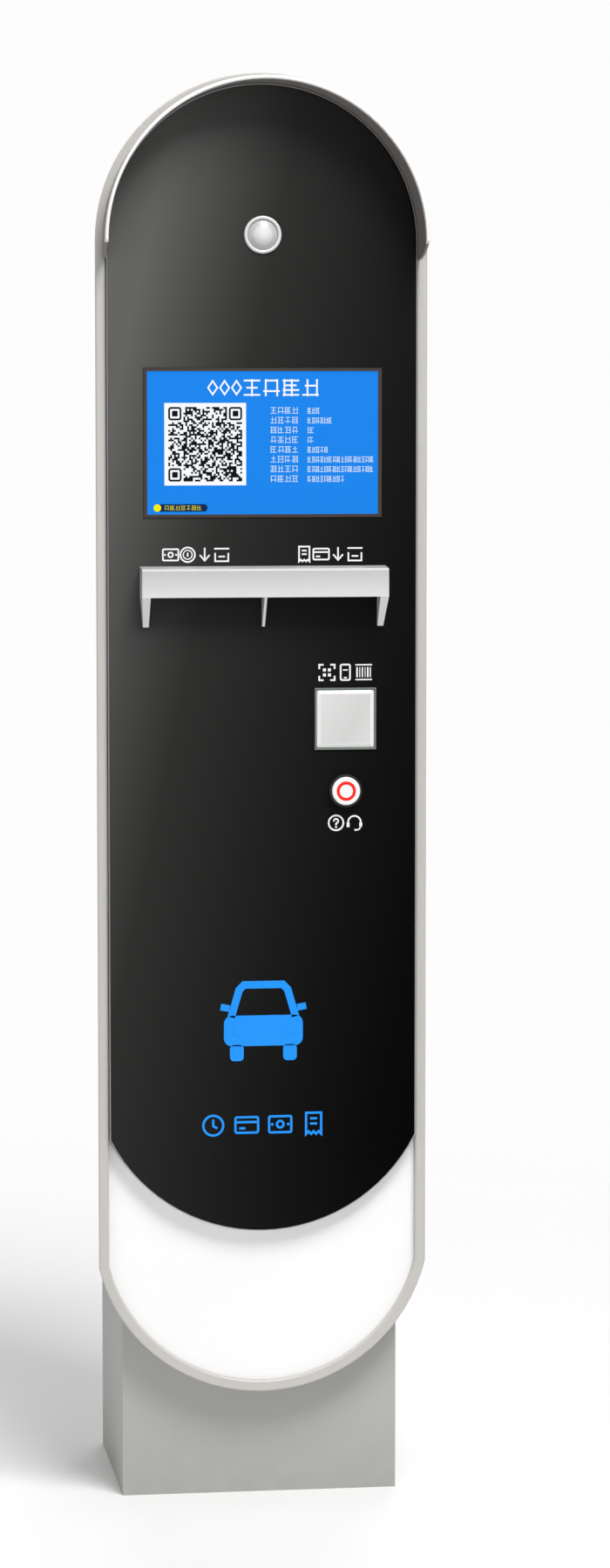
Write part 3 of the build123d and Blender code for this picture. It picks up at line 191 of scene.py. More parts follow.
class Finish:
    """A procedural material: one Principled shader and the nodes that feed it."""

    def __init__(self, name):
        self.material = bpy.data.materials.new(name)
        self.material.use_nodes = True
        self.tree = self.material.node_tree
        self.tree.nodes.clear()
        self.place = self.node("ShaderNodeTexCoord", out="Object")

    def node(self, kind, settings=None, sockets=None, out=0):
        """Adds a node: its settings first, then the values or links of its sockets."""
        node = self.tree.nodes.new(kind)
        for key, value in (settings or {}).items():
            if key == "stops":
                ramp = node.color_ramp.elements
                while len(ramp) < len(value):
                    ramp.new(0.5)
                for stop, (place, shade) in zip(ramp, value):
                    stop.position = place
                    stop.color = (*shade, 1.0)
            else:
                setattr(node, key, value)
        for key, value in (sockets or {}).items():
            if isinstance(value, Wire):
                self.tree.links.new(value.socket, node.inputs[key])
            else:
                node.inputs[key].default_value = value
        return Wire(self, node.outputs[out])

    def noise(self, scale, detail=2.0, stretch=(1, 1, 1)):
        where = self.node("ShaderNodeMapping", None, {"Vector": self.place, "Scale": stretch})
        return self.node("ShaderNodeTexNoise", None,
                         {"Vector": where, "Scale": scale, "Detail": detail})

    def maths(self, operation, *values):
        return self.node("ShaderNodeMath", {"operation": operation}, dict(enumerate(values)))

    def across(self):
        """Distance to the right of the middle."""
        return self.node("ShaderNodeSeparateXYZ", None, {"Vector": self.place}, out=0)

    def height(self):
        """Height above the ground."""
        return self.node("ShaderNodeSeparateXYZ", None, {"Vector": self.place}, out=2)

    def reach(self, centre, keep):
        """Distance from a centre, along the axes whose number in keep is 1."""
        moved = self.node("ShaderNodeMapping", {"vector_type": "POINT"},
                          {"Vector": self.place, "Location": -np.array(centre) * keep,
                           "Scale": keep})
        return self.node("ShaderNodeVectorMath", {"operation": "LENGTH"}, {0: moved},
                         out="Value")

    def ramp(self, factor, *stops):
        return self.node("ShaderNodeValToRGB", {"stops": stops}, {"Fac": factor})

    def fade(self, factor, shade, *stops):
        """A ramp of one colour made lighter or darker: each stop is a place and a factor."""
        return self.ramp(factor, *((place, rgba(shade, share)[:3]) for place, share in stops))

    def tones(self, factor, shade, first, second):
        """A colour between two strengths of one colour."""
        return self.mix(factor, rgba(shade, first), rgba(shade, second))

    def mix(self, factor, first, second):
        """A colour between two colours."""
        return self.node("ShaderNodeMix", {"data_type": "RGBA"},
                         {0: factor, 6: first, 7: second}, out=2)

    def bump(self, height, depth, strength=1.0):
        return self.node("ShaderNodeBump", None,
                         {"Height": height, "Distance": depth, "Strength": strength})

    def shade(self, **sockets):
        """Adds the shader; Base_Color names the socket Base Color. Gives the material back."""
        named = {key.replace("_", " "): value for key, value in sockets.items()}
        shader = self.node("ShaderNodeBsdfPrincipled", None, named)
        output = self.tree.nodes.new("ShaderNodeOutputMaterial")
        self.tree.links.new(shader.socket, output.inputs["Surface"])
        return self.material


def rgba(shade, factor=1.0):
    return (*(min(1.0, c * factor) for c in shade), 1.0)


# ---- finishes ----------------------------------------------------------------------------------
def powder_coat(name, shade, roughness=0.42, peel=0.06, dust=0.0):
    """Satin powder coat: orange peel, faint clouding, and dust that thins out above the ground."""
    f = Finish(name)
    cloud = f.noise(5.0, 3.0)
    tint = f.tones(cloud, shade, 0.965, 1.03)
    if dust:
        settled = f.node("ShaderNodeMapRange", {"clamp": True},
                         {0: f.height(), 1: 0.0, 2: 0.10, 3: dust, 4: 0.0})
        grime = settled * f.noise(38.0, 5.0)
        tint = f.mix(grime, tint, rgba(light(120, 112, 100)))
    grain = f.noise(620.0, 2.0)
    fine = f.noise(2100.0, 1.0)
    return f.shade(Base_Color=tint, Roughness=cloud * 0.10 + (roughness - 0.05),
                   Normal=f.bump(grain + fine * 0.4, peel * MM, 0.8), Specular_IOR_Level=0.45)


def zinc_plate(name, shade, roughness=0.36):
    """Galvanised sheet: spangle cells of slightly different brightness, with fine rolling lines."""
    f = Finish(name)
    cells = f.node("ShaderNodeTexVoronoi", {"feature": "F1"},
                   {"Vector": f.place, "Scale": 85.0}, out="Color")
    grey = f.node("ShaderNodeRGBToBW", None, {0: cells})
    lines = f.noise(180.0, 3.0, (1, 1, 0.04))
    tone = f.fade(grey * 0.7 + lines * 0.3, shade, (0.15, 0.80), (0.85, 1.0))
    return f.shade(Base_Color=tone, Metallic=0.92, Roughness=grey * 0.14 + (roughness - 0.04),
                   Normal=f.bump(lines, 0.02 * MM, 0.5))


def brushed_metal(name, shade, stretch, roughness=0.30, metallic=1.0):
    """Brushed and anodised metal: long fine scratches in one direction."""
    f = Finish(name)
    scratches = f.noise(900.0, 4.0, stretch)
    tone = f.tones(scratches, shade, 0.90, 1.06)
    return f.shade(Base_Color=tone, Metallic=metallic,
                   Roughness=scratches * 0.16 + (roughness - 0.08),
                   Normal=f.bump(scratches, 0.015 * MM, 0.6))


def hood_metal(name, shade):
    """Satin metal of the canopy, with bands of painted reflection: pale low down, as if it
    mirrored a pale floor, and darker towards the top, as if it mirrored a darker ceiling.

    The bands are part of its colour, so they do not follow the light.
    """
    f = Finish(name)
    bottom, top = low("canopy")[2], high("canopy")[2]
    share = (f.height() - bottom) * (1 / (top - bottom))
    scratches = f.noise(900.0, 4.0, (0.02, 1, 1))
    # painted reflection: lighter low on the canopy, darker towards its top
    tone = f.fade(share + scratches * 0.06 - 0.03, shade, (0.30, 1.10), (0.52, 1.16),
                  (0.97, 0.86))
    return f.shade(Base_Color=tone, Metallic=0.2, Roughness=scratches * 0.14 + 0.30,
                   Normal=f.bump(scratches, 0.015 * MM, 0.6))


def turned_steel(name, shade, roughness=0.28):
    """Plated fasteners: bright, with small stains and handling marks."""
    f = Finish(name)
    stain = f.noise(210.0, 4.0)
    tone = f.tones(stain, shade, 0.78, 1.05)
    return f.shade(Base_Color=tone, Metallic=1.0, Roughness=stain * 0.25 + (roughness - 0.1),
                   Normal=f.bump(f.noise(1500.0, 2.0), 0.01 * MM, 0.5))


def moulded(name, shade, roughness=0.45, grain=0.04, scale=900.0, specular=0.5):
    """Moulded plastic or rubber: spark-eroded grain and faint flow marks."""
    f = Finish(name)
    flow = f.noise(24.0, 3.0)
    pits = f.noise(scale, 3.0)
    tone = f.tones(flow, shade, 0.92, 1.06)
    return f.shade(Base_Color=tone, Roughness=flow * 0.12 + pits * 0.08 + (roughness - 0.1),
                   Normal=f.bump(pits, grain * MM, 0.7), Specular_IOR_Level=specular)


def blend_on_screen(first, second, share):
    """A colour between two linear colours, as a screen would fade from one to the other."""
    low_end, high_end = (np.array(c) ** (1 / 2.4) for c in (first, second))
    return tuple(((1 - share) * low_end + share * high_end) ** 2.4)


def dark_glass_painted_reflection(name, bright, mid, dark):
    """Dark back-printed glass with a painted reflection: light grey at the upper left, fading to
    the glass's own near-black at the lower right.

    The fade runs along x + lean * (height of the lens - z), steeply to the middle colour and
    then gently to the dark one. It is part of the colour, so it does not follow the light.
    """
    f = Finish(name)
    lean, start, knee, end = 0.206, -0.127, 0.0145, 0.40
    along = f.across() + (middle("sensor_bezel")[2] - f.height()) * lean + f.noise(2.0, 1.0) * 0.004
    stops = []
    for share in (0.0, 0.07, 0.14, 0.21, 0.27, 0.36, 0.46, 0.58, 0.72, 0.86, 1.0):
        where = start + share * (end - start)
        if where < knee:
            shade = blend_on_screen(bright, mid, (where - start) / (knee - start))
        else:
            shade = blend_on_screen(mid, dark, (where - knee) / (end - knee))
        stops.append((share, shade))
    # painted reflection: light grey at the upper left, fading to the glass's own near-black at the
    # lower right
    painted_reflection_fade = f.ramp((along - start) * (1 / (end - start)), *stops)
    smears = f.noise(14.0, 5.0, (1, 1, 0.5))
    return f.shade(Base_Color=painted_reflection_fade, Roughness=smears * 0.05 + 0.05, Specular_IOR_Level=0.06,
                   Normal=f.bump(f.noise(3.0, 1.0), 0.05 * MM, 0.25))


def milky_lens(name, shade):
    """A frosted dome with painted shading: a painted highlight brightest in its middle,
    darker towards its rim.
    """
    f = Finish(name)
    centre = middle("sensor_dome")
    share = f.reach(centre, (1, 0, 1)) * (1 / (high("sensor_dome")[0] - centre[0]))
    # painted highlight and shade: lighter in the middle of the dome, darker towards its rim
    painted_dome_shading = f.fade(share, shade, (0.15, 1.39), (0.58, 1.15), (0.70, 0.89), (0.92, 0.82),
                  (1.0, 0.75))
    return f.shade(Base_Color=painted_dome_shading, Roughness=0.28 + f.noise(60.0, 2.0) * 0.06,
                   Coat_Weight=0.15,
                   Normal=f.bump(f.noise(700.0, 2.0), 0.01 * MM, 0.4))


def lit_picture(name):
    """The display's picture: it glows in the colours stored on its cells."""
    f = Finish(name)
    cell = f.node("ShaderNodeAttribute", {"attribute_name": "cell"}, None, out="Color")
    soft = f.noise(2.2, 1.0) * 0.06
    shown = f.mix(soft, cell, (0.0, 0.0, 0.0, 1.0))
    dim = f.mix(0.75, cell, (0.0, 0.0, 0.0, 1.0))
    return f.shade(Base_Color=dim, Emission_Color=shown, Emission_Strength=0.74,
                   Roughness=0.12 + f.noise(20.0, 3.0) * 0.05, Specular_IOR_Level=0.10)


def printed_ink(name, shade):
    """Screen-printed ink: opaque, with a faint mesh in its gloss."""
    f = Finish(name)
    mesh = f.noise(1400.0, 2.0)
    tone = f.tones(f.noise(40.0, 2.0), shade, 0.97, 1.0)
    return f.shade(Base_Color=tone, Roughness=0.38 + mesh * 0.12,
                   Normal=f.bump(mesh, 0.01 * MM, 0.4))


def frosted_window(name, shade):
    """The scanner's window: pale, with painted shading that fades across it and a painted
    highlight on its edge band.
    """
    f = Finish(name)
    centre = middle("scanner_window")
    half = (high("scanner_window") - low("scanner_window"))[0] / 2
    across = f.across() - centre[0]
    rise = f.height() - centre[2]
    slope = (across - rise * 0.6) * (0.30 / half) + 0.5
    edge = f.maths("MAXIMUM", f.maths("ABSOLUTE", across), f.maths("ABSOLUTE", rise))
    # painted shading: the window's colour fades lighter and darker across it
    middle_tone = f.fade(slope, shade, (0.0, 1.06), (0.6, 0.90), (1.0, 1.0))
    # painted highlight: a brighter band round the sloping edge
    band = f.ramp(edge * (1 / half), (0.84, (0.0, 0.0, 0.0)), (0.88, (1.0, 1.0, 1.0)))
    tone = f.mix(band, middle_tone, rgba(shade, 1.22))
    return f.shade(Base_Color=tone, Roughness=0.16 + f.noise(90.0, 3.0) * 0.07,
                   Coat_Weight=0.4, Coat_Roughness=0.08,
                   Normal=f.bump(f.noise(500.0, 2.0), 0.01 * MM, 0.4))


def wound_paper(name, shade):
    """A wound roll: rings on its ends, one for every few layers of paper."""
    f = Finish(name)
    rings = f.maths("SINE", f.reach(middle("paper_roll"), (0, 1, 1)) * 9000.0)
    layers = rings * 0.5 + f.noise(300.0, 3.0) * 0.5
    tone = f.tones(layers, shade, 0.86, 1.0)
    return f.shade(Base_Color=tone, Roughness=0.72 + layers * 0.08,
                   Normal=f.bump(layers, 0.05 * MM, 0.6), Specular_IOR_Level=0.2)


FINISHES = {}


def finish(name):
    """The material of one of the record's slots, made when it is first asked for."""
    if name not in FINISHES:
        FINISHES[name] = MAKERS[name](name)
    return FINISHES[name]


MAKERS = {
    "casing_paint": lambda n: powder_coat(n, colours().casing),
    "lower_white": lambda n: powder_coat(n, colours().lower, roughness=0.5, peel=0.04),
    "plinth_paint": lambda n: powder_coat(n, colours().plinth, roughness=0.52, dust=0.35),
    "visor_paint": lambda n: powder_coat(n, colours().visor, roughness=0.5),
    "zinc_steel": lambda n: zinc_plate(n, (0.62, 0.63, 0.64)),
    "fastener_steel": lambda n: turned_steel(n, (0.55, 0.56, 0.58)),
    "carrier_alloy": lambda n: brushed_metal(n, (0.60, 0.61, 0.62), (1, 1, 0.02)),
    "canopy_alloy": lambda n: hood_metal(n, colours().canopy),
    "panel_glass": lambda n: dark_glass_painted_reflection(
        n, colours().glass_light, colours().glass_mid, colours().glass_dark),
    "trim_white": lambda n: moulded(n, colours().trim, 0.38, 0.02),
    "lens_plastic": lambda n: milky_lens(n, light(198, 198, 198)),
    "ring_plastic": lambda n: moulded(n, light(222, 222, 221), 0.28, 0.01),
    "black_plastic": lambda n: moulded(n, (0.012, 0.012, 0.013), 0.5),
    "bezel_brown": lambda n: moulded(n, light(62, 52, 46), 0.42, 0.02),
    "display_glass": lit_picture,
    "scanner_frame": lambda n: moulded(n, light(112, 122, 114), 0.4, 0.02),
    "scanner_glass": lambda n: frosted_window(n, light(222, 222, 221)),
    "button_white": lambda n: moulded(n, light(250, 250, 250), 0.3, 0.01),
    "machine_grey": lambda n: moulded(n, (0.045, 0.048, 0.052), 0.48),
    "cash_steel": lambda n: powder_coat(n, (0.022, 0.024, 0.027), 0.5, 0.12),
    "box_steel": lambda n: powder_coat(n, (0.40, 0.43, 0.45), 0.45),
    "breaker_grey": lambda n: moulded(n, (0.62, 0.63, 0.62), 0.42),
    "lever_blue": lambda n: moulded(n, (0.018, 0.06, 0.20), 0.38),
    "seal_rubber": lambda n: moulded(n, (0.010, 0.010, 0.010), 0.75, 0.08, 500.0, 0.25),
    "platen_rubber": lambda n: moulded(n, (0.022, 0.022, 0.024), 0.7, 0.03, 1600.0, 0.25),
    "paper_white": lambda n: wound_paper(n, (0.88, 0.88, 0.84)),
    "lock_chrome": lambda n: turned_steel(n, (0.80, 0.80, 0.80), 0.16),
    "white_ink": lambda n: printed_ink(n, colours().ink),
    "blue_ink": lambda n: printed_ink(n, colours().mark),
    "red_ink": lambda n: printed_ink(n, colours().ring),
}


# ---- mesh helpers ------------------------------------------------------------------------------
def place(piece, body, slot, replaced=(), material=None):
    """Gives a piece its body and its material, the finish of its slot unless another is
    named, and hides the CAD nodes that it stands for.
    """
    piece.data.materials.clear()
    piece.data.materials.append(finish(material or slot))
    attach(piece, body)
    if replaced:
        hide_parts(*replaced)
    return piece


def new_object(name, mesh):
    piece = bpy.data.objects.new(name, mesh)
    bpy.context.scene.collection.objects.link(piece)
    return piece


def tidy(mesh, turn_out=True):
    """Merges doubles, drops flat faces and turns the faces outwards."""
    bm = bmesh.new()
    bm.from_mesh(mesh)
    bmesh.ops.remove_doubles(bm, verts=bm.verts, dist=1e-6)
    bmesh.ops.dissolve_degenerate(bm, edges=bm.edges, dist=1e-7)
    if turn_out:
        bmesh.ops.recalc_face_normals(bm, faces=bm.faces)
    bm.to_mesh(mesh)
    bm.free()
    mesh.shade_smooth()


def grid_faces(rows, cols, wrap_rows, wrap_cols, start=0):
    """Four-cornered faces between neighbours of a grid of points."""
    r = np.arange(rows if wrap_rows else rows - 1)
    c = np.arange(cols if wrap_cols else cols - 1)
    rr, cc = np.meshgrid(r, c, indexing="ij")
    r2 = (rr + 1) % rows
    c2 = (cc + 1) % cols
    quads = np.stack([rr * cols + cc, rr * cols + c2, r2 * cols + c2, r2 * cols + cc], axis=-1)
    return (quads.reshape(-1, 4) + start).tolist()


def surfaces(name, grids, wrap_rows=False, wrap_cols=True):
    """One object from several grids of points, each a surface of its own."""
    points, faces, start = [], [], 0
    for grid in grids:
        rows, cols = grid.shape[:2]
        points.append(grid.reshape(-1, 3))
        faces += grid_faces(rows, cols, wrap_rows, wrap_cols, start)
        start += rows * cols
    mesh = bpy.data.meshes.new(name)
    mesh.from_pydata(np.concatenate(points).tolist(), [], faces)
    tidy(mesh)
    return new_object(name, mesh)


def soften(piece, width, segments=2, angle=35.0):
    """Live finishing: small rounded edges, with flat faces kept flat in the shading."""
    bevel = piece.modifiers.new("edges", "BEVEL")
    bevel.width = width
    bevel.segments = segments
    bevel.limit_method = "ANGLE"
    bevel.angle_limit = math.radians(angle)
    normals = piece.modifiers.new("flats", "WEIGHTED_NORMAL")
    normals.keep_sharp = False
    return piece


def refined(node, width=0.4 * MM, name=None, segments=2, angle=35.0, slot=None):
    """A CAD node with its triangles merged into clean faces and its edges rounded."""
    mesh = bpy.data.meshes.new(name or node + "_finish")
    bm = bmesh.new()
    bm.from_mesh(frame["nodes"][node].data)
    bmesh.ops.remove_doubles(bm, verts=bm.verts, dist=2e-6)
    bmesh.ops.dissolve_limit(bm, angle_limit=math.radians(0.4), verts=bm.verts, edges=bm.edges)
    bm.to_mesh(mesh)
    bm.free()
    mesh.shade_smooth()
    piece = new_object(mesh.name, mesh)
    soften(piece, width, segments, angle)
    return place(piece, BODY_OF[node], slot or SLOT_OF[node], (node,))


def refine(*rows):
    """Several CAD nodes, each with its rounding in millimetres and its piece's name."""
    for node, width, name in rows:
        refined(node, width * MM, name)


def revolved(profile, centre, axis="y", turns=96):
    """Points (radius, depth) turned about an axis through centre: radius times cosine and sine."""
    radius, depth = np.array(profile).T
    angle = np.linspace(0, 2 * np.pi, turns, endpoint=False)
    side = radius[:, None] * np.cos(angle)
    rise = radius[:, None] * np.sin(angle)
    along = np.broadcast_to(depth[:, None], side.shape)
    order = {"y": (side, along, rise), "x": (along, side, rise), "z": (side, rise, along)}[axis]
    return np.stack(order, axis=-1) + np.array(centre)


def arc_points(centre, radius, start, end, count):
    """Points on an arc, by angle in degrees: centre plus radius times cosine and sine."""
    angle = np.radians(np.linspace(start, end, count))
    return np.stack([centre[0] + radius * np.cos(angle), centre[1] + radius * np.sin(angle)], -1)


def casing_outline(inset, count=64):
    """The casing's front shape, inset by a distance.

    A half circle of the half width over the sides, two straight sides, and below them an arc
    whose radius is (half width squared + drop squared) / (2 drop), less the inset.
    """
    drop = sizes().casing_drop
    full_r = (HALF_W**2 + drop**2) / (2 * drop)
    half = HALF_W - inset
    radius = full_r - inset
    centre_z = SKIN_BOTTOM + full_r
    span = math.degrees(math.asin(half / radius))
    top = arc_points((0, ARC_Z), half, 0, 180, 2 * count)
    base = arc_points((0, centre_z), radius, 270 - span, 270 + span, count)
    left = np.linspace(top[-1], base[0], count)[1:-1]
    right = np.linspace(base[-1], top[0], count)[1:-1]
    return np.concatenate([top, left, base, right])


def carried(profile, outline):
    """A profile of (inset, y) points carried round an outline that is known at every inset."""
    rows = []
    for inset, y in profile:
        flat = outline(inset)
        rows.append(np.stack([flat[:, 0], np.full(len(flat), y), flat[:, 1]], axis=-1))
    return np.stack(rows)


# ---- drawings on the glass ---------------------------------------------------------------------
class Drawing:
    """Flat print on the glass, built from strips between two lines of points (x, z)."""

    def __init__(self):
        self.points = []
        self.faces = []
        self.tints = []

    def strip(self, first, second, tint=(1, 1, 1), closed=False, lift=0.0):
        first = np.asarray(first, float)
        second = np.broadcast_to(np.asarray(second, float), first.shape)
        start = sum(len(p) for p in self.points)
        flat = np.concatenate([first, second])
        self.points.append(np.stack([flat[:, 0], np.full(len(flat), -lift), flat[:, 1]], axis=-1))
        self.faces += grid_faces(2, len(first), False, closed, start)
        self.tints.append(np.tile([*tint, 1.0], (len(flat), 1)))

    def bar(self, left, right, bottom, top, tint=(1, 1, 1), lift=0.0):
        self.strip([(left, bottom), (left, top)], [(right, bottom), (right, top)], tint,
                   lift=lift)

    def ring(self, centre, radius, width, start=0, end=360, tint=(1, 1, 1), lift=0.0):
        inner = arc_points(centre, radius - width / 2, start, end, 49)
        outer = arc_points(centre, radius + width / 2, start, end, 49)
        self.strip(inner, outer, tint, lift=lift)

    def dot(self, centre, radius, tint=(1, 1, 1), lift=0.0):
        self.strip(arc_points(centre, radius, 0, 360, 41), centre, tint, lift=lift)

    def line(self, points, width, tint=(1, 1, 1), closed=False, lift=0.0):
        """A line of even width: each corner is moved out along the mean of its two normals."""
        p = np.asarray(points, float)
        ahead = np.roll(p, -1, axis=0) - p
        behind = p - np.roll(p, 1, axis=0)
        if not closed:
            ahead[-1] = behind[-1]
            behind[0] = ahead[0]
        ahead /= np.linalg.norm(ahead, axis=1)[:, None]
        behind /= np.linalg.norm(behind, axis=1)[:, None]
        mean = ahead + behind
        mean /= np.linalg.norm(mean, axis=1)[:, None]
        side = np.stack([-mean[:, 1], mean[:, 0]], axis=-1)
        reach = width / 2 / np.clip(np.sum(mean * ahead, axis=1), 0.3, 1)[:, None]
        self.strip(p - side * reach, p + side * reach, tint, closed, lift)

    def frame(self, left, right, bottom, top, width, radius):
        self.line(rounded_box(left, right, bottom, top, radius), width, closed=True)

    def patch(self, left, right, bottom, top, radius, tint=(1, 1, 1), lift=0.0):
        """A filled box with round corners."""
        centre = ((left + right) / 2, (bottom + top) / 2)
        self.strip(rounded_box(left, right, bottom, top, radius), centre, tint, True, lift)

    def piece(self, name, depth_y, thickness):
        mesh = bpy.data.meshes.new(name)
        points = np.concatenate(self.points)
        points[:, 1] += depth_y
        mesh.from_pydata(points.tolist(), [], self.faces)
        layer = mesh.color_attributes.new("cell", "FLOAT_COLOR", "POINT")
        layer.data.foreach_set("color", np.concatenate(self.tints).ravel())
        bm = bmesh.new()
        bm.from_mesh(mesh)
        wrong = [face for face in bm.faces if face.normal.y > 0]
        bmesh.ops.reverse_faces(bm, faces=wrong)
        bm.to_mesh(mesh)
        bm.free()
        piece = new_object(name, mesh)
        film = piece.modifiers.new("film", "SOLIDIFY")
        film.thickness = thickness
        film.offset = -1.0
        return piece


def rounded_box(left, right, bottom, top, radius, count=7):
    """A box's outline with a quarter circle at each corner."""
    r = radius
    return np.concatenate([
        arc_points((right - r, top - r), r, 0, 90, count),
        arc_points((left + r, top - r), r, 90, 180, count),
        arc_points((left + r, bottom + r), r, 180, 270, count),
        arc_points((right - r, bottom + r), r, 270, 360, count)])


class Cell:
    """A square cell of a drawing, in which a pictogram is drawn from -0.5 to 0.5 each way."""

    def __init__(self, drawing, x, z, side, width):
        self.drawing = drawing
        self.place = np.array((x, z))
        self.side = side
        self.width = width

    def at(self, points):
        return np.asarray(points, float) * self.side + self.place

    def line(self, *points, thin=1.0, closed=False):
        self.drawing.line(self.at(points), self.width * thin, closed=closed)

    def ring(self, x, z, radius, thin=1.0, start=0, end=360):
        self.drawing.ring(self.at((x, z)), self.side * radius, self.width * thin, start, end)

    def dot(self, x, z):
        self.drawing.dot(self.at((x, z)), self.width * DOT)

    def frame(self, half_w, half_h, radius):
        (left, bottom), (right, top) = self.at([(-half_w, -half_h), (half_w, half_h)])
        self.drawing.frame(left, right, bottom, top, self.width, self.side * radius)

    def patch(self, x, z, width, height, radius):
        (left, bottom), (right, top) = self.at([(x - width / 2, z - height / 2),
                                                (x + width / 2, z + height / 2)])
        self.drawing.patch(left, right, bottom, top, self.side * radius)


def pictogram_note(c):
    """A bank note: a box with a coin in it."""
    c.frame(0.47, 0.34, 0.06)
    c.ring(0, 0, 0.14)
    for way in (-1, 1):
        c.dot(way * 0.34, 0)


def pictogram_coin(c):
    """A coin: two rings round a short upright."""
    c.ring(0, 0, 0.44)
    c.ring(0, 0, 0.27, 0.7)
    c.line((0, -0.12), (0, 0.12))


def pictogram_arrow(c):
    """An arrow that points down."""
    c.line((0, 0.42), (0, -0.30))
    c.line((-0.30, -0.02), (0, -0.36), (0.30, -0.02))


def pictogram_slot(c):
    """A slot in a face: a tray with a line above it."""
    c.line((-0.40, 0.10), (-0.40, -0.40), (0.40, -0.40), (0.40, 0.10))
    c.line((-0.46, 0.36), (0.46, 0.36))
    c.line((-0.20, -0.12), (0.20, -0.12))


def pictogram_receipt(c):
    """A receipt: a sheet with a torn edge and two lines of print."""
    teeth = [(-0.32 + 0.64 * i / 6, -0.44 + (0.11 if i % 2 else 0.0)) for i in range(7)]
    c.line((-0.32, 0.46), *teeth, (0.32, 0.46), closed=True)
    for level in (0.22, 0.0):
        c.line((-0.15, level), (0.15, level))


def pictogram_code(c):
    """Four viewfinder corners round a small block pattern."""
    for sx in (-1, 1):
        for sz in (-1, 1):
            c.line((sx * 0.46, sz * 0.20), (sx * 0.46, sz * 0.46), (sx * 0.20, sz * 0.46))
            c.patch(sx * 0.15, sz * 0.15, 0.18, 0.18, 0.02)


def pictogram_phone(c):
    c.frame(0.28, 0.46, 0.09)
    c.line((-0.09, -0.32), (0.09, -0.32), thin=0.8)
    c.line((-0.14, 0.14), (0.14, 0.14), thin=0.8)


def pictogram_beam(c):
    """A scanner's beam: upright bars of different widths between two lines."""
    for i, share in enumerate((1.0, 0.5, 0.8, 0.4, 1.0, 0.6)):
        x = -0.40 + i * 0.16
        c.line((x, -0.30), (x, 0.30), thin=share)
    for z in (0.44, -0.44):
        c.line((-0.50, z), (0.50, z), thin=0.8)


def pictogram_question(c):
    c.ring(0, 0, 0.42)
    c.ring(0, 0.10, 0.125, 1.0, -60, 190)
    c.line((0.055, 0.01), (0.0, -0.06), (0.0, -0.13))
    c.dot(0, -0.235)


def pictogram_headset(c):
    c.ring(0, 0.02, 0.38, 1.0, 0, 180)
    for way in (-1, 1):
        c.patch(way * 0.38, -0.12, 0.17, 0.30, 0.05)
    c.ring(0.14, -0.22, 0.22, 0.8, -90, 0)
    c.line((0, -0.44), (0.14, -0.44))


def pictogram_clock(c):
    c.ring(0, 0, 0.42)
    c.line((0.0, 0.26), (0.0, -0.02), (0.17, -0.12))


def pictogram_card(c):
    c.frame(0.48, 0.33, 0.08)
    (left, bottom), (right, top) = c.at([(-0.44, 0.07), (0.44, 0.17)])
    c.drawing.bar(left, right, bottom, top)
    c.line((-0.32, -0.14), (-0.06, -0.14))


def pictogram_car(c):
    """The front of a car: roof, body, wheels and mirrors, with a raised round lamp each side."""
    c.line((-0.40, 0.06), (-0.30, 0.40), (-0.24, 0.46), (0.24, 0.46), (0.30, 0.40),
           (0.40, 0.06))
    c.patch(0, -0.11, 0.98, 0.38, 0.10)
    for way in (-1, 1):
        c.patch(way * 0.33, -0.385, 0.17, 0.20, 0.05)
        c.line((way * 0.42, 0.17), (way * 0.53, 0.19), thin=0.9)
        c.drawing.dot(c.at((way * 0.31, -0.10)), c.side * 0.075, lift=0.3 * MM)


# ---- casing ------------------------------------------------------------------------------------
def skin_inset(y, depth=0.0):
    """How far the tapered skin has leant in at a depth, plus a depth under its surface."""
    rear_half = high("rear_frame")[0] + sizes().sheet
    front_half = high("casing_sides")[0]
    lean = (front_half - rear_half) / (high("casing_sides")[1] - sizes().sheet - SKIN_FRONT)
    return (HALF_W - front_half) + (y - SKIN_FRONT) * lean + depth


def casing_skin():
    """The wrapped sheet: one band whose welded joints are ground smooth.

    Outer rows run back along the lean, a quarter circle turns the rear edge, and inner rows
    return one sheet thickness below.
    """
    sheet = sizes().sheet
    fold = sizes().fold
    outer = [(skin_inset(y), y) for y in np.linspace(SKIN_FRONT, SKIN_BACK - fold, 14)]
    turn = arc_points((skin_inset(SKIN_BACK) + fold, SKIN_BACK - fold), fold, 180, 90, 6)
    inner = [(skin_inset(y, sheet), y) for y in np.linspace(SKIN_BACK, SKIN_FRONT, 14)]
    rows = carried([*outer, *turn.tolist(), *inner], casing_outline)
    piece = surfaces("casing_skin", [rows], wrap_rows=True)
    soften(piece, 0.25 * MM, 1)
    place(piece, "station", "casing_paint", ("casing_top", "casing_sides", "casing_bottom"))


# ---- operators ---------------------------------------------------------------------------------
class PAYSTATION_OT_casing(Operator):
    """The wrapped skin, the rim, the lower face and the sheet round the door"""
    bl_idname = "paystation.casing"
    bl_label = "Casing"

    def execute(self, context):
        casing_skin()
        refined("front_frame", 0.35 * MM, "rim", angle=30.0)
        refined("lower_front_panel", 0.4 * MM, "lower_face")
        refined("rear_frame", 0.4 * MM, "door_surround")
        refined("floor_tray", 0.4 * MM, "floor_sheet")
        refined("cable_gland", 0.5 * MM, "gland")
        return {"FINISHED"}


class PAYSTATION_OT_plinth(Operator):
    """The plinth, its rear cover, base plate, deck and posts"""
    bl_idname = "paystation.plinth"
    bl_label = "Plinth"

    def execute(self, context):
        refined("plinth", 1.0 * MM, "plinth_box", 3)
        refined("plinth_cover", 0.6 * MM, "plinth_door")
        refined("base_plate", 0.6 * MM, "base_sheet")
        refined("plinth_deck", 0.5 * MM, "deck_sheet")
        refined("mounting_posts", 0.4 * MM, "post_tubes")
        refined("casing_bolts", 0.4 * MM, "hex_bolts")
        refined("screws_and_studs", 0.25 * MM, "pan_screws")
        return {"FINISHED"}


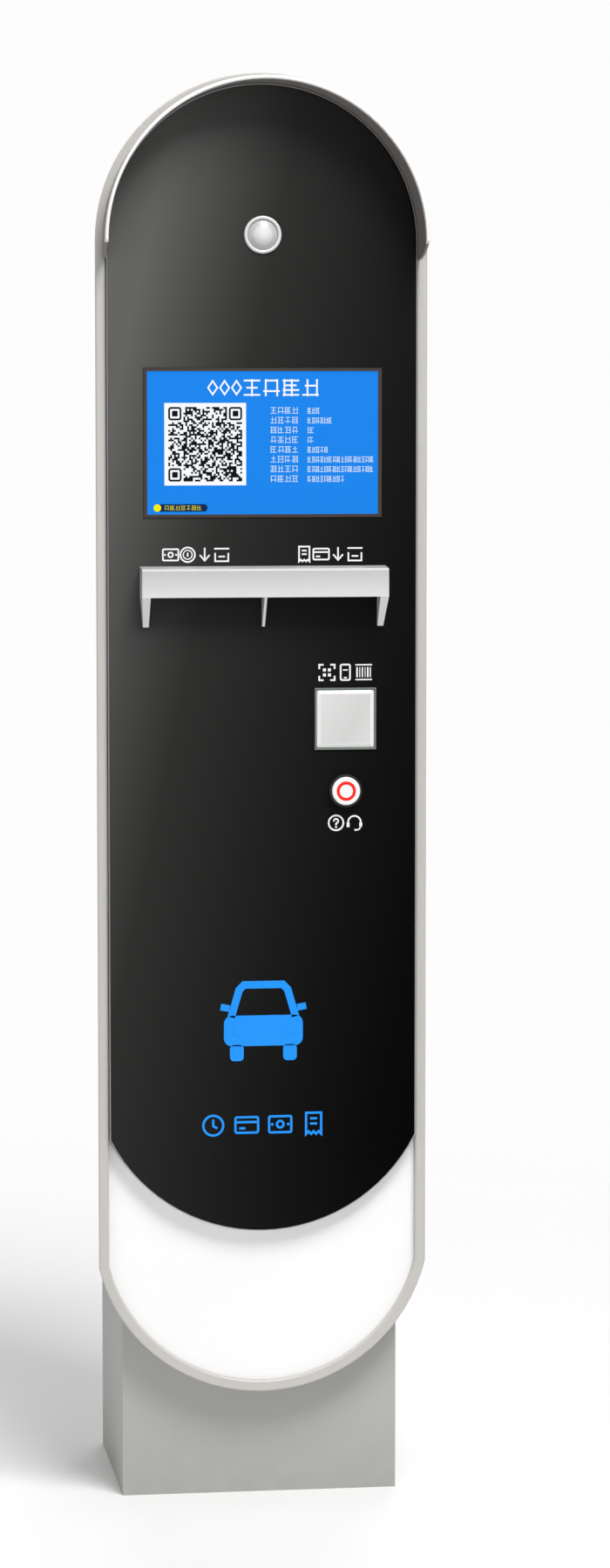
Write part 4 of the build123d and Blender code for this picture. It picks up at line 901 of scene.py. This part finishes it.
class PAYSTATION_OT_glass_panel(Operator):
    """The smoked glass with its polished edge, in its alloy carrier"""
    bl_idname = "paystation.glass_panel"
    bl_label = "Glass panel"

    def execute(self, context):
        refined("front_glass", 0.7 * MM, "smoked_panel", 3)
        refined("panel_carrier", 0.3 * MM, "alloy_carrier")
        return {"FINISHED"}


class PAYSTATION_OT_visor(Operator):
    """The visor over the round top and the white strip on its edge"""
    bl_idname = "paystation.visor"
    bl_label = "Visor"

    def execute(self, context):
        refined("visor", 0.5 * MM, "visor_shell")
        refined("visor_trim", 0.5 * MM, "visor_edge", angle=50.0)
        return {"FINISHED"}


class PAYSTATION_OT_lens(Operator):
    """The round lens at the top: a rolled ring, a domed window and the unit behind it"""
    bl_idname = "paystation.lens"
    bl_label = "Lens"

    def execute(self, context):
        lens_ring()
        lens_dome()
        refined("sensor_module", 0.5 * MM, "lens_unit")
        return {"FINISHED"}


def lens_ring():
    """The ring: a lip that is half a circle in section, on a straight barrel with a flange."""
    outer = high("sensor_bezel")[0] - 6 * MM
    inner = high("sensor_dome")[0] + 0.05 * MM
    front, back = low("sensor_bezel")[1], high("sensor_bezel")[1]
    half = (outer - inner) / 2
    lip = arc_points(((outer + inner) / 2, front + half), half, 360, 180, 15)
    flange = high("sensor_bezel")[0]
    rest = [(inner, back), (flange, back), (flange, back - 3 * MM), (outer, back - 3 * MM)]
    centre = middle("sensor_bezel")
    rows = revolved([*lip.tolist(), *rest], (centre[0], 0, centre[2]))
    piece = soften(surfaces("lens_ring", [rows], wrap_rows=True), 0.3 * MM, 2, 50)
    place(piece, "station", "ring_plastic", ("sensor_bezel",))


def lens_dome():
    """A shallow dome: depth is rise times (1 - (r/R) squared), closed flat behind."""
    radius = high("sensor_dome")[0]
    front, back = low("sensor_dome")[1], high("sensor_dome")[1]
    centre = middle("sensor_dome")
    rise = 6 * MM
    share = np.linspace(0, 1, 20)
    face = np.stack([radius * share, front + rise * share**2], axis=-1)
    profile = [*face.tolist(), (radius, back), (0, back)]
    rows = revolved(profile, (centre[0], 0, centre[2]))
    piece = surfaces("lens_dome", [rows])
    soften(piece, 0.3 * MM, 2, 50)
    place(piece, "station", "lens_plastic", ("sensor_dome",))


class PAYSTATION_OT_display(Operator):
    """The display: bezel, lit picture and the unit behind it"""
    bl_idname = "paystation.display"
    bl_label = "Display"

    def execute(self, context):
        refined("screen_bezel", 0.35 * MM, "display_bezel")
        refined("display_housing", 0.8 * MM, "display_case")
        refined("display_panel", 0.3 * MM, "display_cell", slot="bezel_brown")
        picture()
        return {"FINISHED"}


SCREEN_W = 261 * MM
SCREEN_H = 160 * MM


def picture():
    """The picture: a blue ground, a heading, a block code, rows of small signs and a status pill."""
    d = Drawing()
    centre = middle("screen_bezel")
    x0, z1 = centre[0] - SCREEN_W / 2, centre[2] + SCREEN_H / 2
    x1, z0 = x0 + SCREEN_W, z1 - SCREEN_H
    white = light(250, 252, 255)
    pale = light(205, 226, 250)
    d.bar(x0, x1, z0, z1, colours().screen)
    left = x0 + 68 * MM
    for i in range(3):
        x = left + (6 + 13.4 * i) * MM
        tip = np.array([(0, 7.6), (5.2, 0), (0, -7.6), (-5.2, 0)]) * MM + (x, z1 - 18.5 * MM)
        d.line(tip, 1.8 * MM, white, True, 0.1 * MM)
    for i in range(4):
        small_sign(d, left + (41 + 22 * i) * MM, z1 - 28 * MM, 18.5 * MM, 19 * MM, 1.9 * MM, i,
                   white)
    block_code(d, x0 + 19.5 * MM, z1 - 127.5 * MM, 92 * MM)
    for i, count in enumerate((3, 6, 1, 1, 5, 16, 16, 9)):
        z = z1 - (47.6 + 10.9 * i) * MM
        for n in range(4):
            small_sign(d, x0 + (139 + 8.1 * n) * MM, z, 6.9 * MM, 7.4 * MM, 0.75 * MM,
                       3 * i + n, pale)
        for n in range(count):
            wide = 4.0 if count > 1 else 7.0
            small_sign(d, x0 + (181 + 4.7 * n) * MM, z, wide * MM, 6.6 * MM, 0.75 * MM,
                       5 * i + n + 2, pale)
    pill = z0 + 7.4 * MM
    d.patch(x0 + 8 * MM, x0 + 68 * MM, pill - 4.2 * MM, pill + 4.2 * MM, 4.1 * MM,
            light(16, 42, 84), 0.1 * MM)
    d.dot((x0 + 11.5 * MM, pill), 4.2 * MM, light(250, 240, 0), 0.2 * MM)
    for n in range(7):
        small_sign(d, x0 + (19.5 + 6.1 * n) * MM, pill - 2.6 * MM, 5.2 * MM, 5.2 * MM,
                   0.8 * MM, n + 1, light(190, 184, 40), 0.2 * MM)
    piece = d.piece("display_picture", low("display_panel")[1] - 0.15 * MM, 0.08 * MM)
    place(piece, "station", "display_glass")


def small_sign(d, left, bottom, width, height, bar, kind, tint, lift=0.1 * MM):
    """A made-up sign of two to four level bars and one or two uprights. It is no real letter."""
    right, top = left + width, bottom + height
    levels = ((0.08, 0.5, 0.92), (0.3, 0.92), (0.08, 0.36, 0.64, 0.92), (0.08, 0.62))[kind % 4]
    for level in levels:
        z = bottom + height * level
        inset = 0.16 * width if level == levels[len(levels) // 2] else 0
        d.bar(left + inset, right - inset, z - bar / 2, z + bar / 2, tint, lift)
    for across in ((0.5,), (0.15, 0.85), (0.1, 0.55), (0.32, 0.9), (0.25, 0.75))[kind % 5]:
        x = left + width * across
        d.bar(x - bar / 2, x + bar / 2, bottom, top, tint, lift + 0.04 * MM)


def block_code(d, left, bottom, side):
    """A made-up block pattern with a square eye in three corners. It holds no message."""
    d.bar(left, left + side, bottom, bottom + side, light(250, 252, 255), 0.1 * MM)
    count = sizes().code_cells
    border = side * 0.048
    cell = (side - 2 * border) / count
    rng = np.random.default_rng(7)
    filled = rng.random((count, count)) < 0.52
    eye = 8
    filled[:eye, :eye] = False
    filled[:eye, -eye:] = False
    filled[-eye:, :eye] = False
    dark = light(14, 16, 24)
    for row, col in np.argwhere(filled):
        x = left + border + col * cell
        z = bottom + side - border - (row + 1) * cell
        d.bar(x, x + cell, z, z + cell, dark, 0.2 * MM)
    for row, col in ((0, 0), (0, count - 7), (count - 7, 0)):
        x = left + border + (col + 3.5) * cell
        z = bottom + side - border - (row + 3.5) * cell
        d.line(rounded_box(x - 3 * cell, x + 3 * cell, z - 3 * cell, z + 3 * cell, cell),
               cell, dark, True, 0.2 * MM)
        d.patch(x - 1.5 * cell, x + 1.5 * cell, z - 1.5 * cell, z + 1.5 * cell, 0.5 * cell,
                dark, 0.2 * MM)


class PAYSTATION_OT_canopy(Operator):
    """The alloy canopy, and the two slots below it"""
    bl_idname = "paystation.canopy"
    bl_label = "Canopy and slots"

    def execute(self, context):
        refined("canopy", 0.9 * MM, "canopy_hood", 3, 25.0)
        refine(("note_bezel", 0.4, "note_mouth"),
               ("receipt_bezel", 0.4, "receipt_mouth"))
        return {"FINISHED"}


class PAYSTATION_OT_scanner(Operator):
    """The code scanner's window and frame"""
    bl_idname = "paystation.scanner"
    bl_label = "Scanner"

    def execute(self, context):
        refined("scanner_bezel", 0.4 * MM, "scanner_surround")
        scan_window()
        refined("scanner_module", 0.6 * MM, "scanner_unit")
        return {"FINISHED"}


def scan_window():
    """A square with a sloping edge band: its outline is |x|^p + |z|^p = 1 with p of 60."""
    centre = middle("scanner_window")
    half = (high("scanner_window") - low("scanner_window"))[0] / 2
    front, back = low("scanner_window")[1], high("scanner_window")[1]
    angle = np.linspace(0, 2 * np.pi, 256, endpoint=False)
    power = 60.0
    reach = (np.abs(np.cos(angle))**power + np.abs(np.sin(angle))**power)**(-1 / power)
    unit = np.stack([np.cos(angle), np.sin(angle)], axis=-1) * reach[:, None]
    rows = []
    for share, y in ((0, front), (0.86, front), (0.875, front + 0.1 * MM),
                     (0.985, front + 1.6 * MM), (1, front + 2.2 * MM), (1, back), (0, back)):
        flat = unit * half * share
        rows.append(np.stack([centre[0] + flat[:, 0], np.full(len(flat), y),
                              centre[2] + flat[:, 1]], axis=-1))
    piece = surfaces("scan_window", [np.stack(rows)])
    soften(piece, 0.15 * MM, 1, 60)
    place(piece, "station", "scanner_glass", ("scanner_window",))


class PAYSTATION_OT_help_button(Operator):
    """The help button: dished cap with a red ring, housing and nut"""
    bl_idname = "paystation.help_button"
    bl_label = "Help button"

    def execute(self, context):
        refined("help_button_body", 0.5 * MM, "help_housing", angle=40.0)
        refined("help_button_nut", 0.4 * MM, "help_nut")
        button_cap()
        return {"FINISHED"}


def button_cap():
    """A cap with a rolled edge and a shallow dish: depth is dish times (1 - (r/R) squared)."""
    centre = middle("help_button_cap")
    centre = (centre[0], 0, centre[2])
    radius = high("help_button_cap")[0] - centre[0]
    front, stem_end = low("help_button_cap")[1], high("help_button_cap")[1]
    back = front + 5 * MM
    roll = 1.6 * MM
    dish = 0.5 * MM
    flat_r = radius - roll
    share = np.linspace(0, 1, 12)
    face = np.stack([flat_r * share, front + dish * (1 - share**2)], axis=-1)
    edge = arc_points((flat_r, front + roll), roll, 270, 360, 8)
    stem = 6 * MM
    profile = [*face.tolist(), *edge.tolist()[1:], (radius, back), (stem, back),
               (stem, stem_end), (0, stem_end)]
    piece = surfaces("help_cap", [revolved(profile, centre)])
    soften(piece, 0.2 * MM, 2, 60)
    place(piece, "help_button", "button_white", ("help_button_cap",))
    ring_in, ring_out = 0.47 * radius, 0.69 * radius
    depth = front + dish * (1 - (ring_in / flat_r)**2)
    inlay = [(ring_in, depth + 0.6 * MM), (ring_in, depth - 0.12 * MM),
             ((ring_in + ring_out) / 2, depth - 0.26 * MM), (ring_out, depth - 0.20 * MM),
             (ring_out, depth + 0.6 * MM)]
    ring = surfaces("help_ring", [revolved(inlay, centre)], wrap_rows=True)
    soften(ring, 0.05 * MM, 1, 60)
    place(ring, "help_button", "button_white", (), "red_ink")


class PAYSTATION_OT_print(Operator):
    """The pictograms printed on the glass"""
    bl_idname = "paystation.print"
    bl_label = "Print"

    def execute(self, context):
        w = sizes().stroke
        slot_z = high("canopy")[2] + 13 * MM
        pitch = 19.2 * MM
        d = Drawing()
        note_in = (pictogram_note, pictogram_coin, pictogram_arrow, pictogram_slot)
        receipt_out = (pictogram_receipt, pictogram_card, pictogram_arrow, pictogram_slot)
        for way, row in ((-1, note_in), (1, receipt_out)):
            label_x = way * 75.5 * MM
            for i, picto in enumerate(row):
                picto(Cell(d, label_x + (i - 1.5) * pitch, slot_z, 18.5 * MM, w * 0.85))
        scan = middle("scanner_window")
        label_z = high("scanner_bezel")[2] + 17.5 * MM
        for i, picto in enumerate((pictogram_code, pictogram_phone, pictogram_beam)):
            picto(Cell(d, scan[0] + (i - 1) * 21 * MM, label_z, 19 * MM, w * 0.9))
        help_z = low("help_button_body")[2] - 18 * MM
        pictogram_question(Cell(d, scan[0] - 10.5 * MM, help_z, 20 * MM, w * 0.9))
        pictogram_headset(Cell(d, scan[0] + 10.5 * MM, help_z, 19 * MM, w * 0.9))
        piece = d.piece("white_print", GLASS_Y - sizes().print_t, sizes().print_t)
        place(piece, "station", "panel_glass", (), "white_ink")
        d = Drawing()
        low_z = low("front_glass")[2]
        pictogram_car(Cell(d, 0, low_z + 239 * MM, 92 * MM, 8.5 * MM))
        small = (pictogram_clock, pictogram_card, pictogram_note, pictogram_receipt)
        for i, picto in enumerate(small):
            picto(Cell(d, (i - 1.5) * 38.3 * MM, low_z + 121 * MM, 27 * MM, 2.6 * MM))
        piece = d.piece("blue_print", GLASS_Y - sizes().print_t, sizes().print_t)
        place(piece, "station", "panel_glass", (), "blue_ink")
        return {"FINISHED"}


class PAYSTATION_OT_rear_door(Operator):
    """The rear door with its louvres, lock, hinges and seal"""
    bl_idname = "paystation.rear_door"
    bl_label = "Rear door"

    def execute(self, context):
        refined("rear_door", 0.6 * MM, "door_sheet")
        louvres()
        for node, name in (("door_hinge_leaves", "hinge_door_side"),
                           ("frame_hinge_leaves", "hinge_frame_side"),
                           ("hinge_pins", "hinge_rods"), ("door_seal", "seal_strip"),
                           ("lock_housing", "lock_body"), ("lock_nut", "lock_ring_nut"),
                           ("lock_cam", "lock_arm")):
            refined(node, 0.35 * MM, name)
        return {"FINISHED"}


def louvres():
    """A pressed hood over each vent slot, like an eyelid.

    Across the slot its height follows (1 - |u|^4), and from its root to its lip it follows the
    sine of a quarter turn, so that it rises from the sheet and ends square above the slot.
    """
    u = np.linspace(-1, 1, 25)
    v = np.linspace(0, 1, 9)
    uu, vv = np.meshgrid(u, v)
    half = sizes().vent_w / 2 + 1.5 * MM
    swell = (1 - np.abs(uu)**4) * np.sin(vv * np.pi / 2)
    fan_z = middle("fan_frame")[2]
    low_z = low("rear_door")[2] + 140 * MM
    grids = []
    for centre_z, count in ((fan_z, 7), (low_z, 6)):
        for i in range(count):
            z = centre_z + (i - (count - 1) / 2) * sizes().vent_pitch
            grids.append(np.stack([uu * half, DOOR_Y + 0.2 * MM + 2.4 * MM * swell,
                                   z + 4.6 * MM - 5.6 * MM * vv], axis=-1))
    piece = surfaces("door_louvres", grids, wrap_cols=False)
    wall = piece.modifiers.new("wall", "SOLIDIFY")
    wall.thickness = 1.0 * MM
    wall.offset = 0.0
    place(piece, "rear_door", "casing_paint")


class PAYSTATION_OT_fan(Operator):
    """The fan behind the upper louvres"""
    bl_idname = "paystation.fan"
    bl_label = "Fan"

    def execute(self, context):
        refined("fan_frame", 0.6 * MM, "fan_housing")
        fan_wheel()
        return {"FINISHED"}


def fan_wheel():
    """A hub with a rounded cap, and blades whose pitch eases from 52 to 30 degrees at the tip."""
    centre = middle("fan_rotor")
    front, back = low("fan_rotor")[1], high("fan_rotor")[1]
    hub = 15 * MM
    tip = (high("fan_rotor")[0] - low("fan_rotor")[0]) / 2 - 0.6 * MM
    cap = arc_points((hub - 2 * MM, front + 2 * MM), 2 * MM, 270, 360, 7)
    profile = [(0, front), *cap.tolist(), (hub, back), (0, back)]
    grids = [revolved(profile, (centre[0], 0, centre[2]), turns=64)]
    r = np.linspace(hub - 0.5 * MM, tip, 12)[:, None]
    loop = np.linspace(0, 2 * np.pi, 32, endpoint=False)[None, :]
    share = (r - hub) / (tip - hub)
    pitch = np.radians(52 - 22 * share)
    chord = (9.0 + 4.0 * share) * MM
    along = np.cos(loop) * chord
    bow = (1 - np.cos(loop)**2) * 1.2 * MM
    thick = np.sin(loop) * 0.8 * MM + bow
    side = along * np.cos(pitch) - thick * np.sin(pitch)
    depth = (front + back) / 2 + along * np.sin(pitch) * 0.72 + thick * np.cos(pitch)
    depth = np.clip(depth, front + 0.3 * MM, back - 0.3 * MM)
    sweep = side / r
    for i in range(7):
        turn = 2 * np.pi * i / 7 + sweep
        blade = np.stack([centre[0] + r * np.sin(turn), depth, centre[2] + r * np.cos(turn)], -1)
        ends = [blade[:1].mean(axis=1, keepdims=True), blade[-1:].mean(axis=1, keepdims=True)]
        root, point = (np.broadcast_to(end, blade[:1].shape) for end in ends)
        grids.append(np.concatenate([root, blade, point]))
    piece = surfaces("fan_wheel", grids)
    soften(piece, 0.15 * MM, 1, 50)
    place(piece, "fan_rotor", "black_plastic", ("fan_rotor",))


class PAYSTATION_OT_note_machine(Operator):
    """The bank-note validator, the cash box and its rails"""
    bl_idname = "paystation.note_machine"
    bl_label = "Note machine"

    def execute(self, context):
        refine(("bill_validator", 0.8, "validator_case"),
               ("cash_box", 0.8, "cash_cassette"),
               ("cash_box_rails", 0.4, "cassette_rails"))
        cassette_lock()
        return {"FINISHED"}


def cassette_lock():
    """A barrel lock on the cassette's rear face: a stepped disc with a key slot."""
    box_low, box_high = low("cash_box"), high("cash_box")
    rear = box_low[1] + 140 * MM
    centre = (box_low[0] + 22 * MM, rear, box_high[2] - 24 * MM)
    profile = [(0, 1.0 * MM), (1.2 * MM, 1.0 * MM), (1.2 * MM, 2.6 * MM), (6.2 * MM, 2.6 * MM),
               (7.0 * MM, 1.8 * MM), (8.6 * MM, 1.4 * MM), (9.0 * MM, 0.8 * MM),
               (9.0 * MM, -0.5 * MM), (0, -0.5 * MM)]
    piece = surfaces("cassette_lock", [revolved(profile, centre)])
    soften(piece, 0.2 * MM, 2, 40)
    place(piece, "cash_box", "lock_chrome")


class PAYSTATION_OT_printer(Operator):
    """The receipt printer with its lid, platen and paper roll"""
    bl_idname = "paystation.printer"
    bl_label = "Receipt printer"

    def execute(self, context):
        refine(("printer_body", 0.8, "printer_case"),
               ("printer_lid", 0.5, "printer_cover"),
               ("printer_lid_pin", 0.3, "cover_rod"),
               ("platen_roller", 0.4, "platen"),
               ("roll_holder", 0.5, "roll_cradle"))
        paper_and_core()
        return {"FINISHED"}


def paper_and_core():
    """The wound paper, slightly dished on its ends, on a plain core."""
    centre = middle("paper_roll")
    half = (high("paper_roll") - low("paper_roll"))[0] / 2
    outer = (high("paper_roll") - low("paper_roll"))[2] / 2
    bore, core = 6.1 * MM, 8.5 * MM
    share = np.linspace(0, 1, 10)
    right = [(core + (outer - core) * s, half - 0.5 * MM * (1 - s)) for s in share]
    left = [(r, -x) for r, x in reversed(right)]
    paper = surfaces("wound_paper", [revolved([*right, *left], centre, "x")], wrap_rows=True)
    soften(paper, 0.3 * MM, 2, 50)
    place(paper, "paper_roll", "paper_white", ("paper_roll",))
    tube = [(bore, -half), (core, -half), (core, half), (bore, half)]
    sleeve = surfaces("roll_core", [revolved(tube, centre, "x")], wrap_rows=True)
    soften(sleeve, 0.2 * MM, 1, 50)
    place(sleeve, "paper_roll", "paper_white", (), "breaker_grey")


class PAYSTATION_OT_electrics(Operator):
    """The equipment plate with the controller, power supply and breaker"""
    bl_idname = "paystation.electrics"
    bl_label = "Electrics"

    def execute(self, context):
        refine(("equipment_plate", 0.4, "equipment_sheet"),
               ("plate_standoffs", 0.3, "standoff_tubes"),
               ("controller_box", 0.6, "controller_case"),
               ("power_supply", 0.5, "supply_case"),
               ("din_rail", 0.15, "mounting_rail"),
               ("breaker_body", 0.5, "breaker_case"),
               ("breaker_lever", 0.4, "breaker_toggle"))
        return {"FINISHED"}


class PAYSTATION_OT_studio(Operator):
    """The floor, the lights and the camera"""
    bl_idname = "paystation.studio"
    bl_label = "Studio"

    def execute(self, context):
        scene = context.scene
        scene.view_settings.view_transform = "Standard"
        floor()
        surround()
        for row in LAMPS:
            lamp(*row)
        world = bpy.data.worlds.new("studio_air")
        world.use_nodes = True
        sky = world.node_tree.nodes["Background"]
        sky.inputs["Color"].default_value = (1.0, 1.0, 1.0, 1.0)
        sky.inputs["Strength"].default_value = AIR_STRENGTH
        scene.world = world
        view = bpy.data.cameras.new("front_view")
        view.lens = sizes().lens
        view.sensor_fit = "AUTO"
        view.clip_end = 200.0
        camera = bpy.data.objects.new("front_view", view)
        camera.location = CAMERA_PLACE
        camera.rotation_euler = (math.radians(90 - CAMERA_DOWN), 0.0,
                                 math.radians(-CAMERA_RIGHT))
        scene.collection.objects.link(camera)
        scene.camera = camera
        return {"FINISHED"}


def stage_object(name, profile, material):
    """A piece of the stage, turned about the upright axis, whose faces look inwards and up."""
    piece = surfaces(name, [revolved(profile, (0, 0, 0), "z", 64)])
    if piece.data.polygons[0].normal.z < 0:
        piece.data.flip_normals()
    piece.data.materials.append(material)
    return piece


def floor():
    """A round pale floor that takes the shadows and thins out away from the object."""
    f = Finish("studio_floor")
    shown = f.node("ShaderNodeMapRange", {"clamp": True, "interpolation_type": "SMOOTHSTEP"},
                   {0: f.reach((0, 0, 0), (1, 1, 0)), 1: 0.7, 2: 2.6, 3: 1.0, 4: 0.0})
    paper = f.shade(Base_Color=(0.9, 0.9, 0.9, 1.0), Roughness=0.8, Alpha=shown)
    share = np.linspace(0, 1, 24)
    stage_object("studio_floor", np.stack([3.0 * share, np.zeros(24)], axis=-1), paper)


def surround():
    """A pale globe round the set. Only the camera sees it, so it sheds no light."""
    f = Finish("studio_globe")
    air = f.shade(Base_Color=(0.0, 0.0, 0.0, 1.0), Emission_Color=(1.0, 1.0, 1.0, 1.0),
                  Emission_Strength=0.98, Specular_IOR_Level=0.0)
    globe = stage_object("studio_globe", arc_points((0, 0), 14.0, -90, 90, 33), air)
    globe.visible_diffuse = False
    globe.visible_glossy = False
    globe.visible_transmission = False
    globe.visible_shadow = False


def lamp(name, where, size, power):
    """A square soft light that faces the middle of the object."""
    data = bpy.data.lights.new(name, "AREA")
    data.size = size
    data.energy = power
    piece = bpy.data.objects.new(name, data)
    piece.location = where
    aim = np.array(AIM) - np.array(where)
    yaw = math.atan2(-aim[0], aim[1])
    tilt = math.atan2(math.hypot(aim[0], aim[1]), -aim[2])
    piece.rotation_euler = (tilt, 0.0, yaw)
    bpy.context.scene.collection.objects.link(piece)


STEPS = (
    PAYSTATION_OT_studio, PAYSTATION_OT_casing, PAYSTATION_OT_plinth, PAYSTATION_OT_glass_panel,
    PAYSTATION_OT_visor, PAYSTATION_OT_lens, PAYSTATION_OT_display, PAYSTATION_OT_canopy,
    PAYSTATION_OT_scanner, PAYSTATION_OT_help_button, PAYSTATION_OT_print,
    PAYSTATION_OT_rear_door, PAYSTATION_OT_fan, PAYSTATION_OT_note_machine,
    PAYSTATION_OT_printer, PAYSTATION_OT_electrics,
)


class PAYSTATION_PT_sidebar(Panel):
    """Lists the pieces, their sizes and their colours"""
    bl_idname = "PAYSTATION_PT_sidebar"
    bl_label = "Pay station"
    bl_space_type = "VIEW_3D"
    bl_region_type = "UI"
    bl_category = "Pay station"

    def draw(self, context):
        for group in (context.scene.pay_sizes, context.scene.pay_colours):
            box = self.layout.box()
            for name in group.__annotations__:
                box.prop(group, name)
        for step in STEPS:
            self.layout.operator(step.bl_idname)


CLASSES = (PayStationColours, PayStationSizes, *STEPS, PAYSTATION_PT_sidebar)


def register():
    for item in CLASSES:
        bpy.utils.register_class(item)
    bpy.types.Scene.pay_colours = PointerProperty(type=PayStationColours)
    bpy.types.Scene.pay_sizes = PointerProperty(type=PayStationSizes)


def unregister():
    del bpy.types.Scene.pay_sizes
    del bpy.types.Scene.pay_colours
    for item in reversed(CLASSES):
        bpy.utils.unregister_class(item)


def main():
    register()
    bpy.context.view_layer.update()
    for step in STEPS:
        family, name = step.bl_idname.split(".")
        getattr(getattr(bpy.ops, family), name)()


if __name__ == "__main__":
    main()
